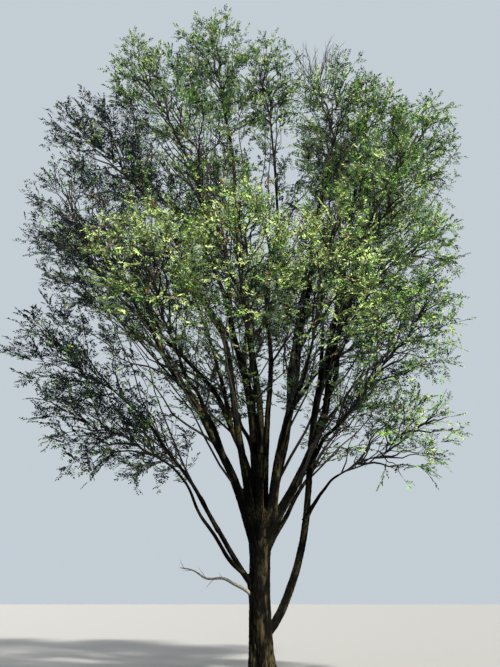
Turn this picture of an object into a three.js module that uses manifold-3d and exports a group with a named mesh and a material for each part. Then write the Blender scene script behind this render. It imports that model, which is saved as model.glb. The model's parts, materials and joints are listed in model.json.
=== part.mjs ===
// A mature Siberian elm (Ulmus pumila) of park size, as faceted solids in millimetres.
// +Z is up and the origin is the centre of the flat cut under the trunk. +X is the right-hand side
// of the tree and -Y its front. Azimuths are in degrees from +X towards +Y, leans from the vertical.
//
// The trunk forks low into a sheaf of steep leaders that arch outwards near the top, like a vase.
// Each limb ends at one mass of foliage: a stem that goes on from the limb's tip, twigs that branch
// from it by a seeded rule, and blades that each stand for a spray of small leaves.
import * as THREE from "three";
import { mergeVertices } from "three/addons/utils/BufferGeometryUtils.js";
import Module from "manifold-3d";

const wasm = await Module();
wasm.setup();

const UP = new THREE.Vector3(0, 0, 1);
const GOLDEN_ANGLE = 137.5;
const SEED = 1907;
const BARK_COLOUR = 0x5a5044;
const LEAF_COLOUR = 0x6f8038;

const CLEARANCE = 0.3; // gap between solids that meet
const LIMB_SEAL = 0.05; // edges shorter than this are closed up after a cut
const FOLIAGE_SEAL = 0.5; // the same, after a mass is joined
const LEAST_KEPT = 0.8; // a cut that leaves a smaller share of a solid in one piece is an error

// Trunk: height and radius, from the flat cut to the fork.
const TRUNK = {
  profile: [
    [0, 360],
    [130, 316],
    [380, 286],
    [720, 268],
    [1340, 248],
    [1900, 236],
    [2500, 242],
    [2900, 276],
    [3250, 344],
    [3480, 396],
    [3600, 370],
  ],
  sides: 18,
  buttresses: 5,
  buttressDepth: 0.17, // of the radius, at the ground
  buttressHeight: 330,
  buttressTurn: 0.6,
  sway: 40, // how far the stem swings to the left, half way up
};

const LIMB = {
  sides: 6,
  steps: 7,
  handle: 0.36, // how far the limb holds its last direction, and most limbs their first one
  wander: 0.014, // sideways, as a share of its span
  tipShare: 0.34, // of the radius at its foot
  leastTip: 26,
  taper: 1.05,
};
const FORK_HEIGHT = 3300; // the leaders' axes start here, inside the trunk's head

// The middle of a limb's mass of foliage is [azimuth, reach, height] and its half sizes are
// [along its stem, across it]. `lean` is the limb's lean at its foot and at its tip, and `handle`
// how far it holds its first direction, as a share of its span.
function limb(name, foot, middle, size, lean, radius, handle = LIMB.handle) {
  return { name, foot, middle: place(...middle), long: size[0], wide: size[1], lean, radius, handle };
}

// A leader's axis starts inside the trunk's head, at an azimuth and a distance from its middle.
function leader(name, azimuth, out, ...rest) {
  return limb(name, { point: place(azimuth, out, FORK_HEIGHT) }, ...rest);
}

// A low bough's axis starts in the trunk, at a height and a distance behind the trunk's middle.
function lowBough(name, height, behind, ...rest) {
  return limb(name, { point: trunkAxis(height).setY(behind) }, ...rest);
}

// A side bough's axis starts in its parent, at a share of that limb's length.
function bough(name, parent, at, ...rest) {
  return limb(name, { parent, at }, ...rest);
}

const LIMBS = [
  leader("west", 190, 290, [205, 4650, 10000], [2150, 1650], [23, 37], 114),
  leader("north_west", 150, 290, [164, 5250, 10800], [2150, 1600], [-8, 43], 92),
  leader("long_west", 228, 290, [180, 4620, 13800], [2150, 1600], [10, 41], 100),
  leader("high_west", 170, 95, [180, 3200, 15800], [2000, 1500], [1, 26], 108),
  leader("crown_west", 262, 300, [168, 1350, 17000], [2000, 1550], [0, 10], 96),
  leader("crown_east", 30, 110, [60, 500, 16450], [1700, 1400], [0, -14], 82),
  leader("east", 318, 290, [344, 2300, 14600], [1900, 1450], [8, 10], 122),
  leader("far_east", 5, 290, [1, 4400, 13700], [2150, 1600], [35, 31], 114),
  leader("north", 105, 280, [108, 3900, 14600], [2200, 1750], [10, 30], 105),
  leader("north_east", 55, 290, [45, 4300, 13600], [2200, 1700], [18, 36], 100),

  lowBough("low_west", 1700, 0, [187, 4600, 7100], [2050, 1600], [43, 52], 70),
  lowBough("low_east", 800, 160, [12, 3450, 15100], [1950, 1500], [72, 14], 112, 0.1),
  lowBough("low_north", 2300, 0, [50, 4400, 6900], [1950, 1600], [40, 48], 78),

  bough("low_west_front", "low_west", 0.1, [196, 3900, 5300], [1900, 1500], [60, 66], 50),
  bough("low_west_back", "low_west", 0.3, [143, 3600, 5500], [1850, 1450], [48, 60], 50),
  bough("south_west", "west", 0.24, [240, 4500, 7800], [1950, 1600], [36, 44], 62),
  bough("north_west_back", "north_west", 0.34, [122, 5100, 12000], [2100, 1700], [22, 44], 58),
  bough("high_west_back", "high_west", 0.42, [143, 4200, 14000], [2000, 1550], [16, 42], 56),
  bough("front_high", "crown_west", 0.42, [240, 3400, 11600], [1950, 1500], [20, 30], 52),
  bough("front_mid", "crown_west", 0.12, [264, 3950, 8100], [1950, 1550], [24, 40], 58),
  bough("south_east", "east", 0.16, [290, 3900, 8000], [1950, 1550], [38, 40], 60),
  bough("high_east", "low_east", 0.57, [42, 3300, 14900], [1900, 1500], [12, 20], 54),
  bough("east_front", "far_east", 0.4, [318, 3900, 10300], [2050, 1600], [28, 42], 58),
  bough("east_mid", "far_east", 0.34, [0, 3900, 10300], [2050, 1600], [34, 50], 60),
  bough("east_low", "low_east", 0.43, [334, 3700, 7300], [1950, 1500], [30, 46], 58),
  bough("low_east_out", "low_east", 0.335, [345, 3200, 5000], [1900, 1450], [40, 66], 54),
  bough("north_mid", "north", 0.34, [84, 5000, 11300], [2050, 1750], [26, 44], 62),
  bough("north_low", "north", 0.16, [108, 4700, 8300], [2000, 1700], [34, 50], 62),
  bough("north_east_mid", "north_east", 0.3, [30, 5100, 10000], [2050, 1700], [30, 48], 62),
];

// The dead, bare limb low on the left.
const DEAD = {
  name: "dead_limb",
  height: 1500,
  tip: place(192, 1900, 2250),
  lean: [50, 82],
  radius: [52, 11],
  sides: 5,
  steps: 5,
  wander: 0.05,
};

// How a mass of foliage grows.
const FOLIAGE = {
  entry: 0.82, // the limb ends this share of the mass's half length before its middle
  stemEnd: 0.62, // and the stem this share past it
  stemFoot: 0.9, // the stem's radius at its foot, as a share of the limb's tip
  stemTip: 8,
  stemSides: 3,
  stemSteps: 3,
  wander: 0.04,
  twigs: 6,
  twigSpan: [0.1, 0.95], // the part of the stem that carries twigs
  twigStray: 30, // degrees, the most that a twig strays from the golden angle
  twigSpread: [72, 30], // degrees from the stem, at its foot and at its tip
  twigDroop: 0.2,
  twigLeast: 220, // a shorter twig than this gives way to a spray on the stem
  twigRadius: [26, 10],
  twigSides: 3,
  twigSteps: 1,
  sprays: [0.38, 0.72], // places along a twig of the sprays beside the one at its tip
  spraySplay: 0.9, // how far these turn aside, to either hand in turn
  sprayDroop: 0.2,
  sprayLength: 1400,
  sprayWidth: 760,
  sprayThickness: 28,
  sprayWidest: 0.1, // share of its length that the widest place lies past the middle
  spraySizes: [0.55, 0.9, 1.1], // least size of a spray, and the range that its full size is drawn from
  sprayRoom: 0.96, // share of the free room that a spray may take
  sprayRoot: 0.8, // share of a spray's length that stands out past its twig's tip
  tipSunk: 90, // how far the spray at a tip reaches back into its twig
  tries: 6, // shrinking and turning, before a spray is left out
  shrink: 0.07,
  edge: 25, // kept clear of the planes between neighbouring masses
  neighbours: 7000, // masses farther off than this share no plane
  stride: 40, // of the search for a mass's edge
};

function place(azimuth, reach, height) {
  const a = THREE.MathUtils.degToRad(azimuth);
  return new THREE.Vector3(Math.cos(a) * reach, Math.sin(a) * reach, height);
}

// The trunk's middle at a height.
function trunkAxis(height) {
  const top = TRUNK.profile.at(-1)[0];
  return new THREE.Vector3(-TRUNK.sway * Math.sin((Math.PI * height) / top), 0, height);
}

// Seeded random numbers between 0 and 1 (mulberry32).
function seeded(seed) {
  let state = seed >>> 0;
  return () => {
    state = (state + 0x6d2b79f5) >>> 0;
    let mixed = Math.imul(state ^ (state >>> 15), state | 1);
    mixed ^= mixed + Math.imul(mixed ^ (mixed >>> 7), mixed | 61);
    return ((mixed ^ (mixed >>> 14)) >>> 0) / 4294967296;
  };
}

// The direction that leans by `degrees` from the vertical towards the plan direction of `out`.
function leaning(out, degrees) {
  const lean = THREE.MathUtils.degToRad(degrees);
  const flat = new THREE.Vector3(out.x, out.y, 0).normalize();
  return flat.multiplyScalar(Math.sin(lean)).addScaledVector(UP, Math.cos(lean));
}

// A direction `way` with `aside` parts of its own right-hand side and `rise` parts of UP added.
function turned(way, aside, rise) {
  const side = new THREE.Vector3().crossVectors(way, UP).normalize();
  return way.clone().addScaledVector(side, aside).addScaledVector(UP, rise).normalize();
}

// The direction at `spread` degrees from `way`, turned about it by `turn` radians.
function branching(way, spread, turn) {
  const side = new THREE.Vector3().crossVectors(way, UP).normalize();
  const face = side.clone().cross(way);
  const out = side.multiplyScalar(Math.cos(turn)).addScaledVector(face, Math.sin(turn));
  const angle = THREE.MathUtils.degToRad(spread);
  return way.clone().multiplyScalar(Math.cos(angle)).addScaledVector(out, Math.sin(angle));
}

// A closed three.js geometry as a manifold-3d solid.
function solid(geometry) {
  geometry.deleteAttribute("normal");
  geometry.deleteAttribute("uv");
  const merged = mergeVertices(geometry, 1e-3);
  const vertProperties = new Float32Array(merged.attributes.position.array);
  const triVerts = new Uint32Array(merged.index.array);
  return new wasm.Manifold(new wasm.Mesh({ numProp: 3, vertProperties, triVerts }));
}

// The largest body of a solid: the small loose pieces that a cut or join leaves are dropped.
function largest(name, made, tolerance) {
  const bodies = made.simplify(tolerance).decompose();
  const best = bodies.reduce((a, b) => (b.volume() > a.volume() ? b : a));
  if (best.volume() < LEAST_KEPT * made.volume()) throw new Error(`${name} is in two pieces`);
  return best;
}

function meshOf(name, made, color) {
  const { vertProperties, triVerts } = made.getMesh();
  const geometry = new THREE.BufferGeometry();
  geometry.setAttribute("position", new THREE.BufferAttribute(new Float32Array(vertProperties), 3));
  geometry.setIndex(new THREE.BufferAttribute(new Uint32Array(triVerts), 1));
  geometry.computeVertexNormals();
  const material = new THREE.MeshStandardMaterial({ color, roughness: 0.9, metalness: 0 });
  const mesh = new THREE.Mesh(geometry, material);
  mesh.name = name;
  return mesh;
}

// A centre line from one point and direction to another, with a slow, seeded wander that dies out
// at both ends. `at(t)` is a point on it and `along(t)` its direction there.
function centreLine(start, startWay, end, endWay, random, wander, handle = LIMB.handle) {
  const span = start.distanceTo(end);
  const curve = new THREE.CubicBezierCurve3(
    start,
    start.clone().addScaledVector(startWay, span * handle),
    end.clone().addScaledVector(endWay, -span * LIMB.handle),
    end,
  );
  const chord = end.clone().sub(start).normalize();
  const side = new THREE.Vector3().crossVectors(UP, chord).normalize();
  const face = side.clone().cross(chord);
  const phases = [random(), random(), random(), random()].map((x) => x * 2 * Math.PI);
  const wave = (t, slow, quick) => Math.sin(7 * t + slow) + 0.5 * Math.sin(15 * t + quick);
  const at = (t) => {
    const size = span * wander * Math.sin(Math.PI * t) ** 2;
    return curve
      .getPoint(t)
      .addScaledVector(side, size * wave(t, phases[0], phases[1]))
      .addScaledVector(face, size * wave(t, phases[2], phases[3]));
  };
  const along = (t) => {
    if (t <= 0) return startWay.clone();
    if (t >= 1) return endWay.clone();
    return at(Math.min(1, t + 0.01)).sub(at(Math.max(0, t - 0.01))).normalize();
  };
  return { at, along, span };
}

// The point at `t` on the straight stretches between a faceted limb's rings.
function onAxis(line, steps, t) {
  const i = Math.min(Math.floor(t * steps), steps - 1);
  return line.at(i / steps).lerp(line.at((i + 1) / steps), t * steps - i);
}

// A cylinder, or a cone if `pointed`, bent along a centre line, with `radius(t)` for its radius.
function bent(line, radius, sides, steps, pointed) {
  const geometry = pointed
    ? new THREE.ConeGeometry(1, 1, sides, steps)
    : new THREE.CylinderGeometry(1, 1, 1, sides, steps);
  const rings = [];
  let normal = new THREE.Vector3(1, 0, 0);
  for (let i = 0; i <= steps; i++) {
    const way = line.along(i / steps);
    normal = normal.clone().addScaledVector(way, -normal.dot(way)).normalize();
    rings.push({ centre: line.at(i / steps), normal, binormal: way.clone().cross(normal) });
  }
  const position = geometry.attributes.position;
  for (let i = 0; i < position.count; i++) {
    const t = position.getY(i) + 0.5;
    const { centre, normal: x, binormal: y } = rings[Math.round(t * steps)];
    const size = pointed && t < 1 ? radius(t) / (1 - t) : radius(t);
    const point = centre.clone().addScaledVector(x, -position.getX(i) * size);
    point.addScaledVector(y, position.getZ(i) * size);
    position.setXYZ(i, point.x, point.y, point.z);
  }
  return solid(geometry);
}

// The trunk, with buttresses at the root flare and a slight swing, `grown` wider and taller.
function trunkSolid(grown) {
  const top = TRUNK.profile.at(-1)[0] + grown;
  const outline = TRUNK.profile.map(([height, radius]) => new THREE.Vector2(radius + grown, height));
  outline.at(-1).y = top;
  const closed = [new THREE.Vector2(0, 0), ...outline, new THREE.Vector2(0, top)];
  const geometry = new THREE.LatheGeometry(closed, TRUNK.sides);
  geometry.rotateX(Math.PI / 2);
  const position = geometry.attributes.position;
  for (let i = 0; i < position.count; i++) {
    const height = position.getZ(i);
    const turn = Math.atan2(position.getY(i), position.getX(i));
    const swell = TRUNK.buttressDepth * Math.exp(-height / TRUNK.buttressHeight);
    const size = 1 + swell * Math.cos(TRUNK.buttresses * turn + TRUNK.buttressTurn);
    position.setXYZ(i, trunkAxis(height).x + position.getX(i) * size, position.getY(i) * size, height);
  }
  return solid(geometry);
}

// The planes that part each mass from its neighbours, nearer to the narrower of the two.
function partMasses() {
  for (const own of LIMBS) {
    own.planes = [];
    for (const other of LIMBS) {
      const between = other.middle.clone().sub(own.middle);
      const gap = between.length();
      if (other === own || gap > FOLIAGE.neighbours) continue;
      const share = (gap * gap + own.wide ** 2 - other.wide ** 2) / (2 * gap);
      const normal = between.divideScalar(gap);
      own.planes.push(new THREE.Plane(normal, -normal.dot(own.middle) - share + FOLIAGE.edge));
    }
  }
}

// Gives each limb its centre line, its radius along it and the axis of its mass.
function growLimbs() {
  const grown = new Map();
  LIMBS.forEach((own, index) => {
    const { parent, at, point } = own.foot;
    const start = parent ? onAxis(grown.get(parent).line, LIMB.steps, at) : point;
    const out = own.middle.clone().sub(start);
    own.axis = leaning(out, own.lean[1]);
    const end = own.middle.clone().addScaledVector(own.axis, -own.long * FOLIAGE.entry);
    const firstWay = leaning(out, own.lean[0]);
    own.line = centreLine(start, firstWay, end, own.axis, seeded(SEED + index), LIMB.wander, own.handle);
    const tip = Math.max(LIMB.leastTip, LIMB.tipShare * own.radius);
    own.radiusAt = (t) => tip + (own.radius - tip) * (1 - t) ** LIMB.taper;
    grown.set(own.name, own);
  });
}

function limbSolid(own, grown) {
  return bent(own.line, (t) => own.radiusAt(t) + grown, LIMB.sides, LIMB.steps, false);
}

function deadSolid() {
  const start = trunkAxis(DEAD.height);
  const out = DEAD.tip.clone().sub(start);
  const ways = DEAD.lean.map((degrees) => leaning(out, degrees));
  const line = centreLine(start, ways[0], DEAD.tip, ways[1], seeded(SEED), DEAD.wander);
  const radius = (t) => THREE.MathUtils.lerp(...DEAD.radius, t);
  return bent(line, radius, DEAD.sides, DEAD.steps, false);
}

// Whether a point lies inside a mass's own space: its ellipsoid and its side of every plane.
function inside(own, point) {
  const from = point.clone().sub(own.middle);
  const lengthwise = from.dot(own.axis);
  const crosswise = from.lengthSq() - lengthwise ** 2;
  const depth = (lengthwise / own.long) ** 2 + crosswise / own.wide ** 2;
  return depth < 1 && own.planes.every((plane) => plane.distanceToPoint(point) < 0);
}

// How far a ray goes before it leaves the mass's space.
function room(own, from, way) {
  let reached = 0;
  while (inside(own, from.clone().addScaledVector(way, reached + FOLIAGE.stride))) reached += FOLIAGE.stride;
  return reached;
}

function massStem(own, index) {
  const start = own.line.at(1).addScaledVector(own.axis, CLEARANCE);
  const end = own.middle.clone().addScaledVector(own.axis, own.long * FOLIAGE.stemEnd);
  return centreLine(start, own.axis, end, own.axis, seeded(SEED + 100 * index), FOLIAGE.wander);
}

// The root, direction and length of twig number `i` of a mass, and its centre line if it has room.
function massTwig(own, index, stem, i) {
  const random = seeded(SEED + 100 * index + i + 1);
  const [first, last] = FOLIAGE.twigSpan;
  const t = first + ((last - first) * (i + 0.5 * random())) / FOLIAGE.twigs;
  const root = onAxis(stem, FOLIAGE.stemSteps, t);
  const turn = THREE.MathUtils.degToRad(GOLDEN_ANGLE * i + FOLIAGE.twigStray * random()) + index;
  const way = branching(stem.along(t), THREE.MathUtils.lerp(...FOLIAGE.twigSpread, t), turn);
  const length = room(own, root, way) - FOLIAGE.sprayLength * FOLIAGE.sprayRoot;
  if (length < FOLIAGE.twigLeast) return { root, way, random };
  const tip = root.clone().addScaledVector(way, length);
  const line = centreLine(root, way, tip, turned(way, 0, -FOLIAGE.twigDroop), random, FOLIAGE.wander);
  return { root, way, random, length, line };
}

// One spray blade: an octahedron drawn out to a flat, kite-shaped blade with its root at `root`.
function sprayBlade(root, way, roll, size) {
  const across = branching(way, 90, roll);
  const thick = way.clone().cross(across);
  const length = FOLIAGE.sprayLength * size;
  const blade = new THREE.OctahedronGeometry(1);
  const position = blade.attributes.position;
  for (let i = 0; i < position.count; i++) {
    const u = position.getX(i);
    const shift = (1 - Math.abs(u)) * FOLIAGE.sprayWidest;
    const point = root.clone().addScaledVector(way, length * (0.5 + u / 2 + shift));
    point.addScaledVector(across, (position.getY(i) * FOLIAGE.sprayWidth * size) / 2);
    point.addScaledVector(thick, (position.getZ(i) * FOLIAGE.sprayThickness) / 2);
    position.setXYZ(i, point.x, point.y, point.z);
  }
  return blade;
}

function pointsOf(geometry) {
  const position = geometry.attributes.position;
  const point = (_, i) => new THREE.Vector3().fromBufferAttribute(position, i);
  return Array.from({ length: position.count }, point);
}

// Adds a spray where it stays in the mass's space and touches neither a limb nor another spray.
function addSpray(own, sprays, wood, root, way, random) {
  const [least, small, large] = FOLIAGE.spraySizes;
  const free = (FOLIAGE.sprayRoom * room(own, root, way)) / FOLIAGE.sprayLength;
  const most = Math.min(THREE.MathUtils.lerp(small, large, random()), free);
  for (let attempt = 0; attempt < FOLIAGE.tries; attempt++) {
    const size = most * (1 - FOLIAGE.shrink * attempt);
    if (size < least) return;
    const blade = sprayBlade(root, way, Math.PI * random(), size);
    if (!pointsOf(blade).every((point) => inside(own, point))) continue;
    const body = solid(blade);
    if (![wood, ...sprays].every((other) => body.intersect(other).isEmpty())) continue;
    sprays.push(body);
    return;
  }
}

// A mass of foliage: stem, twigs and sprays, fused into one body.
function massSolid(own, index, wood) {
  const stem = massStem(own, index);
  const foot = own.radiusAt(1) * FOLIAGE.stemFoot;
  const stemRadius = (t) => THREE.MathUtils.lerp(foot, FOLIAGE.stemTip, t);
  const twigs = [bent(stem, stemRadius, FOLIAGE.stemSides, FOLIAGE.stemSteps, true)];
  const sprays = [];
  for (let i = 0; i < FOLIAGE.twigs; i++) {
    const { root, way, random, length, line } = massTwig(own, index, stem, i);
    if (!line) {
      addSpray(own, sprays, wood, root, way, random);
      continue;
    }
    const radius = (u) => THREE.MathUtils.lerp(...FOLIAGE.twigRadius, u);
    const twig = bent(line, radius, FOLIAGE.twigSides, FOLIAGE.twigSteps, true);
    if (!twig.intersect(wood).isEmpty()) continue;
    twigs.push(twig);
    FOLIAGE.sprays.forEach((u, k) => {
      const hand = k % 2 ? -1 : 1;
      const rise = -2 * FOLIAGE.sprayDroop * random();
      const sprayWay = turned(line.along(u), hand * FOLIAGE.spraySplay, rise);
      addSpray(own, sprays, wood, onAxis(line, FOLIAGE.twigSteps, u), sprayWay, random);
    });
    const tipRoot = onAxis(line, FOLIAGE.twigSteps, 1 - FOLIAGE.tipSunk / length);
    addSpray(own, sprays, wood, tipRoot, line.along(1), random);
  }
  const topRoot = onAxis(stem, FOLIAGE.stemSteps, 1 - FOLIAGE.tipSunk / stem.span);
  addSpray(own, sprays, wood, topRoot, own.axis, seeded(SEED + 100 * index + 50));
  return largest(own.name, wasm.Manifold.union([...twigs, ...sprays]), FOLIAGE_SEAL);
}

const tree = new THREE.Group();
partMasses();
growLimbs();

tree.add(meshOf("trunk", trunkSolid(0), BARK_COLOUR));
let wood = trunkSolid(CLEARANCE);
for (const own of LIMBS) {
  const cut = largest(own.name, limbSolid(own, 0).subtract(wood), LIMB_SEAL);
  tree.add(meshOf(`bough_${own.name}`, cut, BARK_COLOUR));
  wood = wood.add(limbSolid(own, CLEARANCE));
}
const dead = largest(DEAD.name, deadSolid().subtract(wood), LIMB_SEAL);
tree.add(meshOf(DEAD.name, dead, BARK_COLOUR));
wood = wood.add(dead);

LIMBS.forEach((own, index) => {
  tree.add(meshOf(`foliage_${own.name}`, massSolid(own, index, wood), LEAF_COLOUR));
});

export default tree;
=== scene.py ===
"""Looks of a mature Siberian elm (Ulmus pumila) of park size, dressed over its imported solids.

Everything is in metres, +Z up, with the origin at the middle of the flat cut under the trunk. +X is the
right-hand side of the tree and -Y its front. The limbs' centre lines, the stems and the main twigs follow
the same seeded rule as the part's solids. Here they are carried on to fine twigs and small leaves, and the
trunk and the limbs get a skin of furrowed bark.
"""

from __future__ import annotations

import itertools
import json
import logging
import math
from dataclasses import dataclass, field, fields
from enum import Enum
from typing import Any

import bpy
import numpy as np
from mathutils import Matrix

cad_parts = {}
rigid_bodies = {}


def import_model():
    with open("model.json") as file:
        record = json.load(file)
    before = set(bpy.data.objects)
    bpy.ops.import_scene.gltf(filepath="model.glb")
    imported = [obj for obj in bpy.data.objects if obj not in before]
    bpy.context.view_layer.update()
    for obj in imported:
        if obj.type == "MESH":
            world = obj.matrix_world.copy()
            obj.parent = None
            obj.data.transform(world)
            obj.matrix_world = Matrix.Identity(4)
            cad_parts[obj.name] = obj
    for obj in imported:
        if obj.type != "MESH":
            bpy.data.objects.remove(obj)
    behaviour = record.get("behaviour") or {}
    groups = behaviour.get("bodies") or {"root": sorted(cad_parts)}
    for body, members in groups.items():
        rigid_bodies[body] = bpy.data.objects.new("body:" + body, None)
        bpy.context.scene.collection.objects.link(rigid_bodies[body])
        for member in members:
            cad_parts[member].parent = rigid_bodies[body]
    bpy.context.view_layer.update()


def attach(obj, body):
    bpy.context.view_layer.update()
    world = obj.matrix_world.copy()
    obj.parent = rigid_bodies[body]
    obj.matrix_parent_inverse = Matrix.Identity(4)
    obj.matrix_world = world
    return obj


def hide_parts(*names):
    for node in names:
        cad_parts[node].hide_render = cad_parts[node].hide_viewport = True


log = logging.getLogger("elm")

Array = np.ndarray
Draw = np.random.Generator
Material = bpy.types.Material
Pair = tuple[float, float]
Triple = tuple[float, float, float]

BODY = "root"
PIECE_LIMIT = 190_000  # triangles in one piece

UP = np.array([0.0, 0.0, 1.0])
GOLDEN_ANGLE = 137.5
LEAST_LENGTH = 1e-9  # of a vector that is made one long
SEED = 1907
WORD = 0xFFFFFFFF
KEY_FROM = (0.6, -0.75, 1.05)  # where the sun stands


# Directions and places

def unit(vectors: Array) -> Array:
    """The vectors, each made one long."""
    return vectors / np.maximum(np.linalg.norm(vectors, axis=-1, keepdims=True), LEAST_LENGTH)


SUNWARD = unit(np.array(KEY_FROM))


def dots(a: Array, b: Array) -> Array:
    """The dot products of two rows of vectors, as a column."""
    return np.sum(a * b, axis=-1, keepdims=True)


def place(azimuth: float, reach: float, height: float) -> Array:
    """The point at an azimuth in degrees from +X, a reach from the origin and a height."""
    turn = math.radians(azimuth)
    return np.array([math.cos(turn) * reach, math.sin(turn) * reach, height])


def leaning(out: Array, degrees: float) -> Array:
    """The direction that leans from the vertical towards the plan direction of `out`."""
    lean = math.radians(degrees)
    flat = unit(np.array([out[0], out[1], 0.0]))
    return flat * math.sin(lean) + UP * math.cos(lean)


def turned(way: Array, aside: float, rise: float) -> Array:
    """A direction with `aside` parts of its own right-hand side and `rise` parts of UP added."""
    side = unit(np.cross(way, UP))
    return unit(way + side * aside + UP * rise)


def branching(way: Array, spread: Any, turn: Any) -> Array:
    """The directions at `spread` degrees from `way`, turned about it by `turn` radians.

    Args:
        way: one direction, or one in each row.
        spread: degrees, one number or one for each row.
        turn: radians, one number or one for each row.

    Returns:
        The new directions, in the shape of `way`.
    """
    side = unit(np.cross(way, UP))
    face = np.cross(side, way)
    angle = np.radians(np.asarray(spread))[..., None]
    about = np.asarray(turn)[..., None]
    out = side * np.cos(about) + face * np.sin(about)
    return way * np.cos(angle) + out * np.sin(angle)


# Seeded numbers and noise

class SeededNumbers:
    """Random numbers between 0 and 1, the same ones as the part's own rule draws."""

    def __init__(self, seed: int) -> None:
        """Starts the row of numbers at a seed."""
        self.state = seed & WORD

    def __call__(self) -> float:
        """The next number."""
        self.state = (self.state + 0x6D2B79F5) & WORD
        mixed = ((self.state ^ (self.state >> 15)) * (self.state | 1)) & WORD
        stirred = ((mixed ^ (mixed >> 7)) * (mixed | 61)) & WORD
        mixed ^= (mixed + stirred) & WORD
        return (mixed ^ (mixed >> 14)) / 2**32


def lattice_hash(cells: Array, seed: int) -> Array:
    """A 32-bit number for each whole-numbered cell, the same on every run."""
    mixed = cells[:, 0] * 374761393 + cells[:, 1] * 668265263 + cells[:, 2] * 1440662683
    mixed = (mixed + seed * 1274126177) & WORD
    mixed = ((mixed ^ (mixed >> 13)) * 1274126177) & WORD
    return mixed ^ (mixed >> 16)


def smooth_noise(points: Array, seed: int) -> Array:
    """Gradient noise between about -1 and 1, with features about one unit wide.

    Args:
        points: one point in each row.
        seed: which pattern of noise.

    Returns:
        One number for each point.
    """
    cells = np.floor(points).astype(np.int64)
    local = points - cells
    fade = local**3 * (local * (local * 6 - 15) + 10)
    total = np.zeros(len(points))
    for corner in itertools.product((0, 1), repeat=3):
        mixed = lattice_hash(cells + np.array(corner), seed)
        gradient = np.stack([(mixed >> shift) & 1023 for shift in (0, 10, 20)], axis=1) / 511.5 - 1
        weight = np.prod(np.where(corner, fade, 1 - fade), axis=1)
        total += weight * np.sum((local - corner) * gradient, axis=1)
    return total * 1.4


def soft_step(low: float, high: float, values: Array) -> Array:
    """Values turned to a smooth rise from 0 at `low` to 1 at `high`."""
    share = np.clip((values - low) / (high - low), 0, 1)
    return share * share * (3 - 2 * share)


def either_way(draw: Draw, most: float, shape: Any = None) -> Any:
    """Random numbers between minus `most` and `most`."""
    return draw.uniform(-most, most, shape)


# Centre lines and limbs

class CentreLine:
    """A cubic curve from one point and direction to another, with a slow, seeded wander along it."""

    HANDLE = 0.36  # how far it holds its last direction, and most often its first, as a share of its span

    def __init__(
        self,
        start: Array,
        start_way: Array,
        end: Array,
        end_way: Array,
        random: SeededNumbers,
        wander: float,
        first_handle: float = HANDLE,
    ) -> None:
        """Draws the curve.

        Args:
            start: its first point.
            start_way: its direction there.
            end: its last point.
            end_way: its direction there.
            random: where its four phases come from.
            wander: how far it strays sideways, as a share of its span.
            first_handle: how far it holds its first direction, as a share of its span.
        """
        self.span = float(np.linalg.norm(end - start))
        first = start + start_way * self.span * first_handle
        last = end - end_way * self.span * self.HANDLE
        self.corners = (start, first, last, end)
        self.ways = (start_way, end_way)
        chord = unit(end - start)
        self.side = unit(np.cross(UP, chord))
        self.face = np.cross(self.side, chord)
        self.phases = [random() * 2 * math.pi for _ in range(4)]
        self.wander = wander

    def at(self, share: Any) -> Array:
        """The points at shares of the line's length, one in each row."""
        t = np.atleast_1d(np.asarray(share, float))[:, None]
        a, b, c, d = self.corners
        point = (1 - t) ** 3 * a + 3 * (1 - t) ** 2 * t * b + 3 * (1 - t) * t**2 * c + t**3 * d
        size = self.span * self.wander * np.sin(np.pi * t) ** 2
        across = np.sin(7 * t + self.phases[0]) + 0.5 * np.sin(15 * t + self.phases[1])
        facing = np.sin(7 * t + self.phases[2]) + 0.5 * np.sin(15 * t + self.phases[3])
        return point + self.side * size * across + self.face * size * facing

    def along(self, share: Any) -> Array:
        """The line's directions at shares of its length, one in each row."""
        t = np.atleast_1d(np.asarray(share, float))
        ways = unit(self.at(np.minimum(1, t + 0.01)) - self.at(np.maximum(0, t - 0.01)))
        ways[t <= 0] = self.ways[0]
        ways[t >= 1] = self.ways[1]
        return ways

    def chord_point(self, steps: int, share: float) -> Array:
        """The point at a share of the length on the straight stretches that the solids are made of."""
        first = min(int(share * steps), steps - 1)
        start, end = self.at([first / steps, (first + 1) / steps])
        return start + (end - start) * (share * steps - first)


@dataclass(frozen=True)
class LimbPlan:
    """One limb and its mass of foliage: where it starts, where its mass lies and how it leans."""

    name: str
    middle: Triple  # azimuth, reach and height of the mass's middle
    size: Pair  # the mass's half sizes, along its stem and across it
    lean: Pair  # from the vertical, at the limb's foot and tip
    radius: float
    light: str  # how the sun finds its leaves, which sets their tints of painted light and shade, and their spacing
    leader: Pair | None = None  # azimuth and distance from the middle of the trunk's head
    height: float | None = None  # on the trunk
    behind: float = 0.0  # behind the trunk's middle
    handle: float = CentreLine.HANDLE
    parent: str | None = None  # the limb that carries it
    at: float = 0.0  # share of the parent's length


def leader(name: str, azimuth: float, out: float, *rest: Any) -> LimbPlan:
    """A limb that starts inside the trunk's head."""
    return LimbPlan(name, *rest, leader=(azimuth, out))


def low_bough(
    name: str, height: float, *rest: Any, behind: float = 0.0, handle: float = CentreLine.HANDLE
) -> LimbPlan:
    """A limb that starts in the trunk, at a height and a distance behind its middle."""
    return LimbPlan(name, *rest, height=height, behind=behind, handle=handle)


def bough(name: str, parent: str, at: float, *rest: Any) -> LimbPlan:
    """A limb that starts in another one, at a share of that limb's length."""
    return LimbPlan(name, *rest, parent=parent, at=at)


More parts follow.
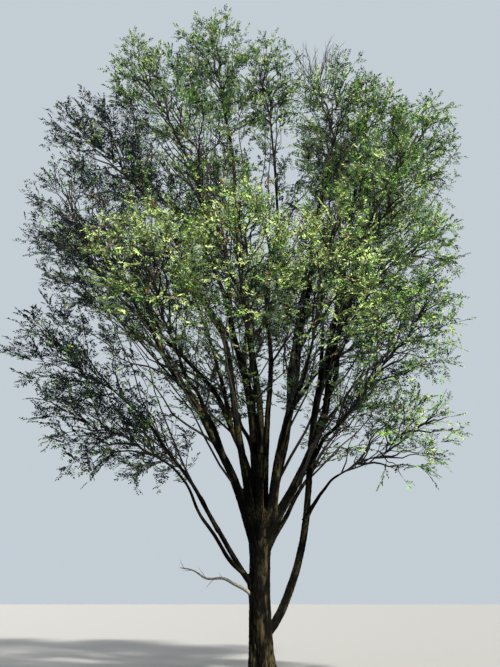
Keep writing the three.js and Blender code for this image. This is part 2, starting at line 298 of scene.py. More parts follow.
LIMB_PLANS = [
    leader("west", 190, 0.29, (205, 4.65, 10.0), (2.15, 1.65), (23, 37), 0.114, "shade"),
    leader("north_west", 150, 0.29, (164, 5.25, 10.8), (2.15, 1.6), (-8, 43), 0.092, "shade"),
    leader("long_west", 228, 0.29, (180, 4.62, 13.8), (2.15, 1.6), (10, 41), 0.1, "shade"),
    leader("high_west", 170, 0.095, (180, 3.2, 15.8), (2.0, 1.5), (1, 26), 0.108, "top"),
    leader("crown_west", 262, 0.3, (168, 1.35, 17.0), (2.0, 1.55), (0, 10), 0.096, "top"),
    leader("crown_east", 30, 0.11, (60, 0.5, 16.45), (1.7, 1.4), (0, -14), 0.082, "top"),
    leader("east", 318, 0.29, (344, 2.3, 14.6), (1.9, 1.45), (8, 10), 0.122, "top"),
    leader("far_east", 5, 0.29, (1, 4.4, 13.7), (2.15, 1.6), (35, 31), 0.114, "bright"),
    leader("north", 105, 0.28, (108, 3.9, 14.6), (2.2, 1.75), (10, 30), 0.105, "back"),
    leader("north_east", 55, 0.29, (45, 4.3, 13.6), (2.2, 1.7), (18, 36), 0.1, "back"),
    low_bough("low_west", 1.7, (187, 4.6, 7.1), (2.05, 1.6), (43, 52), 0.07, "shade"),
    low_bough(
        "low_east", 0.8, (12, 3.45, 15.1), (1.95, 1.5), (72, 14), 0.112, "bright", behind=0.16, handle=0.1
    ),
    low_bough("low_north", 2.3, (50, 4.4, 6.9), (1.95, 1.6), (40, 48), 0.078, "airy"),
    bough("low_west_front", "low_west", 0.1, (196, 3.9, 5.3), (1.9, 1.5), (60, 66), 0.05, "shade"),
    bough("low_west_back", "low_west", 0.3, (143, 3.6, 5.5), (1.85, 1.45), (48, 60), 0.05, "shade"),
    bough("south_west", "west", 0.24, (240, 4.5, 7.8), (1.95, 1.6), (36, 44), 0.062, "sun"),
    bough("north_west_back", "north_west", 0.34, (122, 5.1, 12.0), (2.1, 1.7), (22, 44), 0.058, "back"),
    bough("high_west_back", "high_west", 0.42, (143, 4.2, 14.0), (2.0, 1.55), (16, 42), 0.056, "airy"),
    bough("front_high", "crown_west", 0.42, (240, 3.4, 11.6), (1.95, 1.5), (20, 30), 0.052, "back"),
    bough("front_mid", "crown_west", 0.12, (264, 3.95, 8.1), (1.95, 1.55), (24, 40), 0.058, "sun"),
    bough("south_east", "east", 0.16, (290, 3.9, 8.0), (1.95, 1.55), (38, 40), 0.06, "sun"),
    bough("high_east", "low_east", 0.57, (42, 3.3, 14.9), (1.9, 1.5), (12, 20), 0.054, "back"),
    bough("east_front", "far_east", 0.4, (318, 3.9, 10.3), (2.05, 1.6), (28, 42), 0.058, "bright"),
    bough("east_mid", "far_east", 0.34, (0, 3.9, 10.3), (2.05, 1.6), (34, 50), 0.06, "bright"),
    bough("east_low", "low_east", 0.43, (334, 3.7, 7.3), (1.95, 1.5), (30, 46), 0.058, "bright"),
    bough("low_east_out", "low_east", 0.335, (345, 3.2, 5.0), (1.9, 1.45), (40, 66), 0.054, "top"),
    bough("north_mid", "north", 0.34, (84, 5.0, 11.3), (2.05, 1.75), (26, 44), 0.062, "back"),
    bough("north_low", "north", 0.16, (108, 4.7, 8.3), (2.0, 1.7), (34, 50), 0.062, "airy"),
    bough("north_east_mid", "north_east", 0.3, (30, 5.1, 10.0), (2.05, 1.7), (30, 48), 0.062, "back"),
]


@dataclass
class Trunk:
    """The trunk from its flat cut to the fork: profile, root flare and a slight swing."""

    heights: tuple[float, ...] = (0, 0.13, 0.38, 0.72, 1.34, 1.9, 2.5, 2.9, 3.25, 3.48, 3.6)
    radii: tuple[float, ...] = (0.36, 0.316, 0.286, 0.268, 0.248, 0.236, 0.242, 0.276, 0.334, 0.33, 0.18)
    buttresses: int = 5
    buttress_depth: float = 0.17  # of the radius, at the ground
    buttress_height: float = 0.33
    buttress_turn: float = 0.6
    sway: float = 0.04
    below: float = 0.12  # made below the ground, and cut off flat at the end
    fork_height: float = 3.3  # the leaders' axes start here

    def axis(self, heights: Any) -> Array:
        """The trunk's middle at heights, one point in each row."""
        z = np.atleast_1d(np.asarray(heights, float))
        swing = -self.sway * np.sin(np.pi * np.clip(z / self.heights[-1], 0, 1))
        return np.stack([swing, np.zeros_like(z), z], axis=1)

    def radius(self, heights: Array, turns: Array) -> Array:
        """The trunk's radius at heights and turns about it, root flare and all."""
        z = np.maximum(heights, 0)
        swell = self.buttress_depth * np.exp(-z / self.buttress_height)
        lobes = 1 + swell * np.cos(self.buttresses * turns + self.buttress_turn)
        return np.interp(z, self.heights, self.radii) * lobes


@dataclass
class Mass:
    """The space that one mass of foliage keeps to."""

    EDGE = 0.025  # kept clear of the planes between neighbours
    NEIGHBOURS = 7.0  # masses farther off than this share no plane
    FRONT = -1.5  # nearer than this to the front, and below the next height, the limbs stay in view
    OPEN_TOP = 9.0
    STRIDE = 0.04  # of a ray that looks for the edge
    MOST_STRIDES = 139

    middle: Array
    axis: Array
    long: float
    wide: float
    normals: Array = field(default_factory=lambda: np.zeros((0, 3)))
    constants: Array = field(default_factory=lambda: np.zeros(0))

    def part_from(self, others: list[Mass]) -> None:
        """Sets the planes between this mass and its neighbours."""
        normals, constants = [], []
        for other in others:
            between = other.middle - self.middle
            gap = float(np.linalg.norm(between))
            if other is self or gap > self.NEIGHBOURS:
                continue
            share = (gap * gap + self.wide**2 - other.wide**2) / (2 * gap)
            normal = between / gap
            normals.append(normal)
            constants.append(-normal @ self.middle - share + self.EDGE)
        self.normals = np.array(normals)
        self.constants = np.array(constants)

    def holds(self, points: Array, margin: float = 0.0, overlap: float = 0.0) -> Array:
        """Which points lie in the mass's space.

        Args:
            points: one in each row.
            margin: how far they have to stay inside its outer edge.
            overlap: how far they may pass the planes between neighbours.

        Returns:
            True or False for each point.
        """
        sides = points @ self.normals.T + self.constants < overlap
        return (self.depth(points, margin) < 1) & sides.all(axis=1)

    def depth(self, points: Array, margin: float = 0.0) -> Array:
        """How far out points lie: 0 in the middle and 1 at the outer edge, less a margin."""
        offset = points - self.middle
        lengthwise = offset @ self.axis
        crosswise = np.sum(offset * offset, axis=1) - lengthwise**2
        return (lengthwise / (self.long - margin)) ** 2 + crosswise / (self.wide - margin) ** 2

    def skirts(self, points: Array, stray: float) -> Array:
        """Which points lie just outside the mass's space, below it and towards the trunk."""
        inward = np.hypot(points[:, 0], points[:, 1]) < math.hypot(self.middle[0], self.middle[1])
        back = (points[:, 1] > self.FRONT) | (points[:, 2] > self.OPEN_TOP)
        return inward & back & (points[:, 2] < self.middle[2]) & (self.depth(points, -stray) < 1)

    def room(self, start: Array, way: Array, overlap: float = 0.0) -> float:
        """How far a ray goes before it leaves the mass's space."""
        reach = np.arange(1, self.MOST_STRIDES + 1) * self.STRIDE
        blocked = np.flatnonzero(~self.holds(start + way * reach[:, None], overlap=overlap))
        free = blocked[0] if len(blocked) else self.MOST_STRIDES
        return float(free) * self.STRIDE


@dataclass
class Limb:
    """A grown limb: its plan, centre line and taper, and the mass that it carries."""

    STEPS = 7
    WANDER = 0.014
    TAPER = 1.05
    TIP_SHARE = 0.34
    LEAST_TIP = 0.026
    ENTRY = 0.82  # the limb ends this share of the mass's half length before its middle
    MASS_SEEDS = 100  # between the seeds of one mass and the next

    index: int
    plan: LimbPlan
    line: CentreLine
    mass: Mass

    def radius(self, share: Any) -> Array:
        """The limb's radius at shares of its length."""
        tip = max(self.LEAST_TIP, self.TIP_SHARE * self.plan.radius)
        left = 1 - np.asarray(share, float)
        return tip + (self.plan.radius - tip) * np.clip(left, 0, 1) ** self.TAPER

    def mass_numbers(self, number: int) -> SeededNumbers:
        """The seeded numbers of the stem of its mass, or of one branch there."""
        return SeededNumbers(SEED + self.MASS_SEEDS * self.index + number)


def grow_limbs(trunk: Trunk) -> dict[str, Limb]:
    """Gives each limb its centre line by the part's rule, and parts the masses from each other."""
    grown: dict[str, Limb] = {}
    for index, plan in enumerate(LIMB_PLANS):
        if plan.leader:
            start = place(*plan.leader, trunk.fork_height)
        elif plan.height is not None:
            start = trunk.axis(plan.height)[0] + (0, plan.behind, 0)
        else:
            start = grown[plan.parent].line.chord_point(Limb.STEPS, plan.at)
        middle = place(*plan.middle)
        axis = leaning(middle - start, plan.lean[1])
        end = middle - axis * plan.size[0] * Limb.ENTRY
        first_way = leaning(middle - start, plan.lean[0])
        random = SeededNumbers(SEED + index)
        line = CentreLine(start, first_way, end, axis, random, Limb.WANDER, plan.handle)
        grown[plan.name] = Limb(index, plan, line, Mass(middle, axis, *plan.size))
    masses = [limb.mass for limb in grown.values()]
    for mass in masses:
        mass.part_from(masses)
    return grown


# Meshes from arrays

@dataclass
class Shell:
    """A mesh as arrays: points and triangles, with named values for each point."""

    points: Array
    triangles: Array
    values: dict[str, Array] = field(default_factory=dict)


def joined(shells: list[Shell]) -> Shell:
    """Several shells as one."""
    points, triangles, first = [], [], 0
    for shell in shells:
        points.append(shell.points)
        triangles.append(shell.triangles + first)
        first += len(shell.points)
    names = shells[0].values
    values = {name: np.concatenate([shell.values[name] for shell in shells]) for name in names}
    return Shell(np.concatenate(points), np.concatenate(triangles), values)


def mesh_object(name: str, shell: Shell, smooth: bool) -> bpy.types.Object:
    """Makes a mesh object of a shell.

    Args:
        name: the object's name.
        shell: points, triangles and values.
        smooth: whether its faces are shaded smooth.

    Returns:
        The object, at the origin.
    """
    mesh = bpy.data.meshes.new(name)
    count = len(shell.triangles)
    mesh.vertices.add(len(shell.points))
    set_points(mesh, shell.points)
    mesh.loops.add(3 * count)
    mesh.loops.foreach_set("vertex_index", shell.triangles.astype(np.int32).ravel())
    mesh.polygons.add(count)
    mesh.polygons.foreach_set("loop_start", np.arange(0, 3 * count, 3, dtype=np.int32))
    mesh.polygons.foreach_set("use_smooth", np.full(count, smooth))
    for value_name, values in shell.values.items():
        set_values(mesh, value_name, values)
    mesh.update(calc_edges=True)
    piece = bpy.data.objects.new(name, mesh)
    bpy.context.scene.collection.objects.link(piece)
    return piece


def set_values(mesh: bpy.types.Mesh, name: str, values: Array) -> None:
    """Keeps one number or vector for each of a mesh's points, as an attribute."""
    vector = values.ndim == 2
    attribute = mesh.attributes.new(name, "FLOAT_VECTOR" if vector else "FLOAT", "POINT")
    attribute.data.foreach_set("vector" if vector else "value", values.astype(np.float32).ravel())


def set_points(mesh: bpy.types.Mesh, points: Array) -> None:
    """Moves a mesh's points to new places, one in each row."""
    mesh.vertices.foreach_set("co", points.astype(np.float32).ravel())


def vectors_of(items: Any, name: str) -> Array:
    """A named vector of each item in a mesh's collection, one in each row."""
    flat = np.zeros(3 * len(items), np.float32)
    items.foreach_get(name, flat)
    return flat.reshape(-1, 3).astype(float)


def dress(
    piece: bpy.types.Object, material: Material, nodes: list[str]
) -> bpy.types.Object:
    """Gives a piece its material, hides the solids of the nodes that it stands for, and puts it on the body
    that it rides on.
    """
    piece.data.materials.clear()
    piece.data.materials.append(material)
    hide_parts(*nodes)
    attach(piece, BODY)
    log.info("%s: %d triangles", piece.name, len(piece.data.polygons))
    return piece


def pointed_tubes(paths: Array, radii: Array, sides: int) -> Shell:
    """Closed tubes along many paths at once, each drawn to a point at its end.

    Args:
        paths: the points of each path, as tubes by rings by 3. The last point is the tip.
        radii: the radius at each of them, as tubes by rings.
        sides: of each tube.

    Returns:
        One shell with all the tubes.
    """
    count, rings = radii.shape
    ways = unit(np.gradient(paths, axis=1))
    reference = unit(np.cross(ways[:, :1], np.where(np.abs(ways[:, :1, 2:]) > 0.9, [1.0, 0, 0], UP)))
    x = unit(reference - dots(reference, ways) * ways)
    y = np.cross(ways, x)
    turn = 2 * np.pi * np.arange(sides) / sides
    spokes = x[:, :-1, None] * np.cos(turn)[:, None] + y[:, :-1, None] * np.sin(turn)[:, None]
    around = paths[:, :-1, None] + spokes * radii[:, :-1, None, None]
    each = (rings - 1) * sides + 1
    points = np.concatenate([around.reshape(count, -1, 3), paths[:, -1:]], axis=1)
    return Shell(points.reshape(-1, 3), repeated(tube_triangles(rings, sides), count, each))


def tube_triangles(rings: int, sides: int) -> Array:
    """The triangles of one pointed tube, its flat foot among them."""
    made = []
    for ring, side in itertools.product(range(rings - 2), range(sides)):
        a, b = ring * sides + side, ring * sides + (side + 1) % sides
        made += [(a, b, b + sides), (a, b + sides, a + sides)]
    tip = (rings - 1) * sides
    last = tip - sides
    made += [(last + side, last + (side + 1) % sides, tip) for side in range(sides)]
    made += [(0, side + 1, side) for side in range(1, sides - 1)]
    return np.array(made)


def repeated(triangles: Array, count: int, each: int) -> Array:
    """The same triangles for `count` shapes of `each` points."""
    return (triangles[None] + (np.arange(count) * each)[:, None, None]).reshape(-1, 3)


# Finishes

def linear(colour: str) -> tuple[float, float, float, float]:
    """An sRGB hex colour as linear red, green, blue and alpha."""
    channels = [int(colour[i : i + 2], 16) / 255 for i in (1, 3, 5)]
    red, green, blue = (c / 12.92 if c <= 0.04045 else ((c + 0.055) / 1.055) ** 2.4 for c in channels)
    return (red, green, blue, 1.0)


class Nodes:
    """A node tree under construction."""

    def __init__(self, owner: Material | bpy.types.World) -> None:
        """Empties the owner's node tree."""
        owner.use_nodes = True
        self.tree = owner.node_tree
        self.tree.nodes.clear()

    def add(
        self, kind: str, inputs: dict[Any, Any] | None = None, output: Any = 0, **settings: Any
    ) -> bpy.types.NodeSocket | None:
        """Adds a shader node.

        Args:
            kind: the node's type, without its ShaderNode prefix.
            inputs: a value for each input, or the output socket that feeds it.
            output: which of its own outputs is wanted.
            settings: values of the node's own properties.

        Returns:
            The output socket, or None where the node has none.
        """
        node = self.tree.nodes.new("ShaderNode" + kind)
        for name, value in settings.items():
            setattr(node, name, value)
        for name, value in (inputs or {}).items():
            if isinstance(value, bpy.types.NodeSocket):
                self.tree.links.new(value, node.inputs[name])
            else:
                node.inputs[name].default_value = value
        return node.outputs[output] if node.outputs else None

    def noise(self, where: Any, scale: float, detail: float, roughness: float = 0.5) -> Any:
        """Noise at each place, with `scale` features to the metre."""
        inputs = {"Vector": where, "Scale": scale, "Detail": detail, "Roughness": roughness}
        return self.add("TexNoise", inputs, "Fac")

    def rise(self, value: Any, span: Pair, ends: Pair = (0, 1), **how: Any) -> Any:
        """A value turned to a rise between `ends`, where it goes from one end of `span` to the other."""
        inputs = {0: value, 1: span[0], 2: span[1], 3: ends[0], 4: ends[1]}
        return self.add("MapRange", inputs, **how)

    def product(self, *values: Any) -> Any:
        """Several values, multiplied in their order."""
        result = values[0]
        for value in values[1:]:
            result = self.add("Math", {0: result, 1: value}, operation="MULTIPLY")
        return result

    def mix(self, share: Any, first: Any, second: Any) -> Any:
        """A colour between two others."""
        return self.add("Mix", {0: share, 6: first, 7: second}, 2, data_type="RGBA")

    def bump(self, height: Any, strength: float, distance: float) -> Any:
        """The surface's direction where a small relief lies on it."""
        return self.add("Bump", {"Height": height, "Strength": strength, "Distance": distance})

    def surface(self, colour: Any, roughness: float, specular: float = 0.5, normal: Any = None) -> None:
        """Adds the surface shader and the output."""
        inputs = {"Base Color": colour, "Roughness": roughness, "Specular IOR Level": specular}
        if normal is not None:
            inputs["Normal"] = normal
        self.add("OutputMaterial", {"Surface": self.add("BsdfPrincipled", inputs)})


@dataclass(frozen=True)
class FurrowedBark:
    """Old elm bark: thick grey-brown ridges, dry and rough, that part and join round dark furrows. Its
    colours are kept near black as painted shade, and an ochre of lichen and painted sunlight lies on the
    side to the light and higher up.
    """

    # Kept near black: painted shade on the trunk and limbs.
    crack: str = "#080605"
    ridge: str = "#0d0d09"
    weathered: str = "#1a1912"
    lichen: str = "#6d6140"  # ochre lichen in patches and painted sunlight, most on the side to the light and higher up
    flake: float = 0.014  # size of the flakes on a ridge
    flake_height: float = 0.55  # of a ridge's
    patch: float = 1 / 6.5  # size of the patches of lichen and of painted sun dapples
    squeeze: float = 0.22  # of the places along the grain, which draws both of them out that way
    opening: Pair = (0.2, 0.95)  # heights between which the cracks give way to the ridges
    wear: Pair = (0.9, 1.45)  # and these to weathered tops
    relief: Pair = (0.7, 0.006)  # strength and height of the flakes' bump
    roughness: float = 0.93
    lit_side: Triple = (0.82, -0.5, 0.28)
    lichen_side: Pair = (-0.5, 0.8)  # how far a place faces the light, from no lichen and painted light to the most
    most_lichen: float = 0.7
    lichen_heights: Pair = (2.6, 4.6)  # metres up, from the least share of it to all: painted shade on the trunk, painted light on the limbs
    least_lichen: float = 0.5
    lichen_patches: Pair = (0.48, 0.64)  # values of the noise across a patch's edge
    specular: float = 0.03

    def make(self) -> Material:
        """The material. The grain runs along each limb, by a vector kept on the skin's points."""
        material = bpy.data.materials.new("elm_bark_furrowed")
        nodes = Nodes(material)
        grain = nodes.add("Attribute", None, "Vector", attribute_name="grain")
        furrow = nodes.add("Attribute", None, "Fac", attribute_name="furrow")
        stretched = nodes.add("Mapping", {"Vector": grain, "Scale": (1, 1, self.squeeze)})
        flakes = nodes.noise(stretched, 0.5 / self.flake, detail=5.0, roughness=0.62)
        patches = nodes.noise(stretched, 1 / self.patch, detail=3.0)
        height = nodes.add("Math", {0: flakes, 1: self.flake_height, 2: furrow}, operation="MULTIPLY_ADD")
        smooth = {"interpolation_type": "SMOOTHSTEP"}
        open_bark = nodes.rise(height, self.opening, **smooth)
        colour = nodes.mix(open_bark, linear(self.crack), linear(self.ridge))
        worn = nodes.rise(height, self.wear, **smooth)
        colour = nodes.mix(worn, colour, linear(self.weathered))
        # Ochre of lichen and painted sunlight, on the side to the light and higher up.
        colour = nodes.mix(self.lichen_share(nodes, patches, open_bark), colour, linear(self.lichen))
        nodes.surface(colour, self.roughness, self.specular, nodes.bump(flakes, *self.relief))
        return material

    def lichen_share(self, nodes: Nodes, patches: Any, ridges: Any) -> Any:
        """How much ochre lies on each place, lichen and painted sunlight: on ridges, in patches, on the
        side to the light, and more higher up.
        """
        normal = nodes.add("TexCoord", None, "Normal")
        facing = nodes.add("VectorMath", {0: normal, 1: self.lit_side}, "Value", operation="DOT_PRODUCT")
        place_on_tree = nodes.add("TexCoord", None, "Object")
        height = nodes.add("SeparateXYZ", {0: place_on_tree}, "Z")
        side = nodes.rise(facing, self.lichen_side, (0, self.most_lichen))
        aloft = nodes.rise(height, self.lichen_heights, (self.least_lichen, 1))
        patch = nodes.rise(patches, self.lichen_patches)
        return nodes.product(side, aloft, patch, ridges)


@dataclass(frozen=True)
class SpeckledFinish:
    """A finish in two colours, which a fine noise mixes and raises a little."""

    name: str
    low: tuple[float, ...]  # colour where the noise is low
    high: tuple[float, ...]
    scale: float  # of the noise, to the metre
    detail: float
    span: Pair  # values of the noise between which the colour changes
    roughness: float
    specular: float = 0.3
    relief: Pair | None = None  # strength and height of the bump

    def make(self) -> Material:
        """The material."""
        material = bpy.data.materials.new(self.name)
        nodes = Nodes(material)
        speckles = nodes.noise(nodes.add("TexCoord", None, "Object"), self.scale, self.detail)
        colour = nodes.mix(nodes.rise(speckles, self.span), self.low, self.high)
        bump = nodes.bump(speckles, *self.relief) if self.relief else None
        nodes.surface(colour, self.roughness, self.specular, bump)
        return material


def twig_bark() -> SpeckledFinish:
    """Young elm bark: thin, grey-brown and nearly smooth, with pale breathing pores, coarser than life."""
    return SpeckledFinish(
        name="elm_twig_bark",
        low=linear("#211c17"),
        high=linear("#3d372c"),
        scale=1 / 0.03,
        detail=3.0,
        span=(0.4, 0.75),
        roughness=0.8,
        relief=(0.4, 0.001),
    )


def bare_dead_wood() -> SpeckledFinish:
    """Dead elm wood that has shed its bark: bleached silver grey, with fine cracks along the grain."""
    return SpeckledFinish(
        name="dead_elm_wood",
        low=linear("#39332a"),
        high=linear("#857d6d"),
        scale=0.4 / 0.012,
        detail=4.0,
        span=(0.34, 0.55),
        roughness=0.85,
        relief=(0.6, 0.002),
    )


class LeafTint(Enum):
    """The greens of the leaves, with each one's colour: the yellow greens partly painted sunlight, the two
    darkest painted shade.
    """

    # Partly painted sunlight: dealt most to the sunlit masses.
    YELLOW_GREEN = "#b2c377"
    OLIVE = "#96a55f"
    FRESH_GREEN = "#78a14a"
    MID_GREEN = "#466a35"
    # Painted shade, near black and bluish: dealt most inside the masses and to the shaded ones.
    DEEP_GREEN = "#0d1a0e"
    GREY_GREEN = "#10242a"
    DRY_BROWN = "#7d5f42"


# How often each tint is dealt to a spray, in the order of LeafTint, by how the sun finds the mass: painted
# sunlight on the sunlit masses, painted shade on the shaded ones and inside them.
TINT_SHARES = {
    "sun": (0.33, 0.34, 0.16, 0.08, 0.03, 0.03, 0.03),
    "shade": (0.0, 0.03, 0.03, 0.11, 0.41, 0.41, 0.01),
    "top": (0.12, 0.18, 0.35, 0.23, 0.08, 0.03, 0.01),
    "bright": (0.15, 0.18, 0.36, 0.21, 0.07, 0.02, 0.01),
    "back": (0.05, 0.15, 0.24, 0.30, 0.20, 0.05, 0.01),
    "airy": (0.03, 0.12, 0.20, 0.30, 0.26, 0.08, 0.01),
    "inner": (0.02, 0.12, 0.06, 0.16, 0.43, 0.19, 0.02),
}
LIGHTS = list(TINT_SHARES)

# How far apart the places are that twigs reach, and the noise under which a gap is left between clumps.
TWIG_SPACING = {
    "sun": (0.335, -0.42),
    "shade": (0.375, -0.26),
    "top": (0.37, -0.3),
    "bright": (0.37, -0.3),
    "back": (0.42, -0.16),
    "airy": (0.52, -0.1),
}


def leaf_blade(tint: LeafTint) -> SpeckledFinish:
    """A small elm leaf: firm and slightly glossy above, a little mottled from blade to blade."""
    base = np.array(linear(tint.value))
    return SpeckledFinish(
        name="elm_leaf_" + tint.name.lower(),
        low=tuple(base * (0.75, 0.77, 0.82, 1)),
        high=tuple(base * (1.18, 1.14, 1.05, 1)),
        scale=0.6 / 0.09,  # patches about as long as a leaf, so that blades differ
        detail=1.0,
        span=(0.35, 0.65),
        roughness=0.5,
        specular=0.25,
    )


# Trunk and limbs

@dataclass
class Axis:
    """A sampled centre line with a frame and a radius at every point."""

    points: Array
    radii: Array
    seed: int

    def __post_init__(self) -> None:
        """Works out the directions, the lengths run and the frames, which don't twist."""
        self.ways = unit(np.gradient(self.points, axis=0))
        steps = np.linalg.norm(np.diff(self.points, axis=0), axis=1)
        self.run = np.concatenate([[0.0], np.cumsum(steps)])
        self.x = np.zeros_like(self.points)
        normal = np.array([1.0, 0.0, 0.0])
        for i, way in enumerate(self.ways):
            normal = unit(normal - way * (normal @ way))
            self.x[i] = normal
        self.y = np.cross(self.ways, self.x)

    def led_in(self, points: Array, radii: Array, first: int = 0) -> Axis:
        """This axis from its point number `first` on, with other points before it."""
        points = np.concatenate([points, self.points[first:]])
        return Axis(points, np.concatenate([radii, self.radii[first:]]), self.seed)

    def between(self, first: int, last: int | None) -> Axis:
        """The part of this axis between two of its points."""
        return Axis(self.points[first:last], self.radii[first:last], self.seed)


@dataclass(frozen=True)
class BarkRelief:
    """The relief of elm bark: ridges along the limb, deep on the trunk and shallow on a thin limb."""

    ridge: float = 0.058  # width of a ridge on the trunk
    least_ridge: float = 0.03
    ridge_share: float = 0.24  # its width between these two, of the limb's radius
    stretch: float = 4.5  # length of a ridge, in widths
    depth_share: float = 0.075  # of the limb's radius
    most_depth: float = 0.02
    least_depth: float = 0.0015
    level: float = 0.6  # the height that lies on the limb's own surface
    sway: float = 0.45  # how far the ridges part and join, in widths
    sway_rate: float = 0.6  # how often they do, in each width
    flanks: Pair = (0.03, 0.42)  # values of the noise from a furrow's foot to a ridge's top
    finer: float = 2.3  # how much narrower the small ridges on them are
    fine_flanks: Pair = (0.0, 0.5)
    fine_share: float = 0.3  # of the whole height

    def height(self, grain: Array, radii: Array, seed: int) -> Array:
        """The bark's height between 0 in a furrow and 1 on a ridge.

        Args:
            grain: places across and along the limb, one in each row.
            radii: the limb's radius at each.
            seed: which pattern.

        Returns:
            One number for each place.
        """
        width = np.clip(radii * self.ridge_share, self.least_ridge, self.ridge)[:, None]
        cells = grain / (width * np.array([1.0, 1.0, self.stretch]))
        bend = self.sway * smooth_noise(cells * self.sway_rate, seed + 1)[:, None]
        broad = soft_step(*self.flanks, np.abs(smooth_noise(cells + bend, seed)))
        fine = soft_step(*self.fine_flanks, np.abs(smooth_noise(cells * self.finer + bend, seed + 2)))
        return (1 - self.fine_share) * broad + self.fine_share * fine

    def depth(self, radii: Array) -> Array:
        """How far a ridge stands over its furrow."""
        return np.clip(radii * self.depth_share, self.least_depth, self.most_depth)

    def offset(self, height: Array, radii: Array) -> Array:
        """How far out of a limb's own surface the bark lies, for its height between 0 and 1."""
        return (height - self.level) * self.depth(radii)


@dataclass
class BarkSkin:
    """The trunk and its limbs: one fused skin about the fork, and tapering tubes above it."""

    TRUNK_SEED = 900
    NOISE_APART = 3.7  # from one limb's noise to the next one's
    SIDES_APART = 9.1  # from the noise that bends it one way to that for the other
    KNOTS_ASIDE = 0.5
    WOBBLE_SEED = 5
    KNOT_SEED = 11
    LEADER_HIDDEN = 0.05  # how much of a leader's foot, and of a low bough's, the trunk hides
    BOUGH_HIDDEN = 0.24
    LEAST_WEIGHT = 0.02  # a limb that counts for less than this at a place doesn't show there

    trunk: Trunk
    limbs: dict[str, Limb]
    relief: BarkRelief = BarkRelief()
    sample: float = 0.05  # between rings
    fused_top: float = 5.0  # the fused skin ends about this height, one limb above the other
    fused_lap: int = 4  # rings of a limb's own tube inside its end
    foot_sides: int = 24  # of the tubes that are fused
    foot_ends: tuple[float, ...] = (0.97, 0.9, 0.75, 0.5)  # their last rings, as shares of the radius
    voxel: float = 0.019
    smoothing: int = 5
    blend: float = 0.012  # how wide one limb's relief fades into the next one's
    core_sides: int = 96
    core_rings: int = 70
    sides: int = 16
    side_bough_sides: int = 12
    least_rings: int = 8  # of a limb's tube
    tip_length: float = 0.01
    flare: float = 0.3  # how much wider a limb is at its collar
    flare_run: float = 0.24
    knots: float = 0.05  # how much its radius varies, and how far on from one swelling the next is
    knot_run: float = 0.3
    wobble: float = 0.014  # how far it bends aside, and how far on the next bend is
    wobble_run: float = 0.55
    collar_step: float = 0.1  # between the heights at which neighbouring limbs leave the fused skin
    collar_heights: int = 4
    flute_foot: float = 2.05  # the leaders run down the trunk as flutes to this height
    flute_sunk: float = 0.08  # distance of a flute's foot from the trunk's middle
    flute_bend: float = 1.7  # how late it comes out of the trunk
    flute_width: float = 0.7  # of its foot, as a share of the limb's radius
    ridge_run: float = 0.85  # how far the low boughs run down the trunk as ridges
    ridge_top: float = 0.3  # how deep in the trunk's side a ridge ends, in the limb's radii
    ridge_sunk: float = 0.85  # and how deep its foot lies
    ridge_bend: float = 1.5
    ridge_width: float = 0.35
    join_gap: float = 0.02  # between a flute's or a ridge's last ring and the limb's first one

    def limb_axis(self, limb: Limb, start_radius: float) -> Axis:
        """A limb's sampled axis, with small bends, swellings and a collar at its foot."""
        count = max(self.least_rings, round(limb.line.span / self.sample))
        share = np.linspace(0, 1, count)
        points = limb.line.at(share)
        run = share * limb.line.span
        hold = np.sin(np.pi * share) ** 0.5
        for number, side in enumerate((limb.line.side, limb.line.face)):
            aside = number * self.SIDES_APART
            noise = self.noise_along(limb, run / self.wobble_run, aside, self.WOBBLE_SEED)
            points = points + side * (self.wobble * hold * noise)[:, None]
        lumps = self.noise_along(limb, run / self.knot_run, self.KNOTS_ASIDE, self.KNOT_SEED)
        collar = self.flare * np.exp(-np.maximum(0, run - start_radius) / self.flare_run)
        radii = limb.radius(share) * (1 + self.knots * lumps * hold + collar)
        return Axis(points, radii, limb.index * 10)

    def noise_along(self, limb: Limb, run: Array, aside: float, seed: int) -> Array:
        """Noise along a limb that no other limb has."""
        own = np.full(len(run), limb.index * self.NOISE_APART)
        return smooth_noise(np.stack([run, own, np.full(len(run), aside)], axis=1), seed)

    def carrier_radius(self, limb: Limb) -> float:
        """The radius of what a limb starts in, which its foot is hidden by."""
        if limb.plan.parent:
            return float(self.limbs[limb.plan.parent].radius(limb.plan.at))
        return self.LEADER_HIDDEN if limb.plan.leader else self.BOUGH_HIDDEN

    def trunk_axis(self) -> Axis:
        """The trunk's own axis."""
        heights = np.arange(-self.trunk.below, self.trunk.heights[-1], self.sample)
        radii = np.interp(heights, self.trunk.heights, self.trunk.radii)
        return Axis(self.trunk.axis(heights), radii, self.TRUNK_SEED)

    def trunk_core(self) -> bpy.types.Object:
        """The trunk's smooth body, turned up from a cylinder and shaped to its profile and root flare."""
        low, high = -self.trunk.below, self.trunk.heights[-1]
        middle = (0, 0, (high + low) / 2)
        bpy.ops.mesh.primitive_cylinder_add(
            vertices=self.core_sides, radius=1, depth=high - low, location=middle
        )
        core = bpy.context.object
        bpy.ops.object.transform_apply()
        bpy.ops.object.mode_set(mode="EDIT")
        bpy.ops.mesh.select_all(action="DESELECT")
        bpy.ops.object.mode_set(mode="OBJECT")
        for edge in core.data.edges:
            ends = [core.data.vertices[i].co for i in edge.vertices]
            edge.select = abs(ends[0].z - ends[1].z) > 1
        bpy.ops.object.mode_set(mode="EDIT")
        bpy.ops.mesh.subdivide(number_cuts=self.core_rings)
        bpy.ops.object.mode_set(mode="OBJECT")
        points = vectors_of(core.data.vertices, "co")
        turns = np.arctan2(points[:, 1], points[:, 0])
        radii = self.trunk.radius(points[:, 2], turns)
        points[:, 0] = self.trunk.axis(points[:, 2])[:, 0] + np.cos(turns) * radii
        points[:, 1] = np.sin(turns) * radii
        set_points(core.data, points)
        return core

    def led_down(self, limb: Limb) -> tuple[Axis, Axis]:
        """The axis of a limb that starts in the trunk, by itself and led down the trunk."""
        axis = self.limb_axis(limb, self.carrier_radius(limb))
        return axis, self.fluted(limb, axis) if limb.plan.leader else self.ridged(limb, axis)

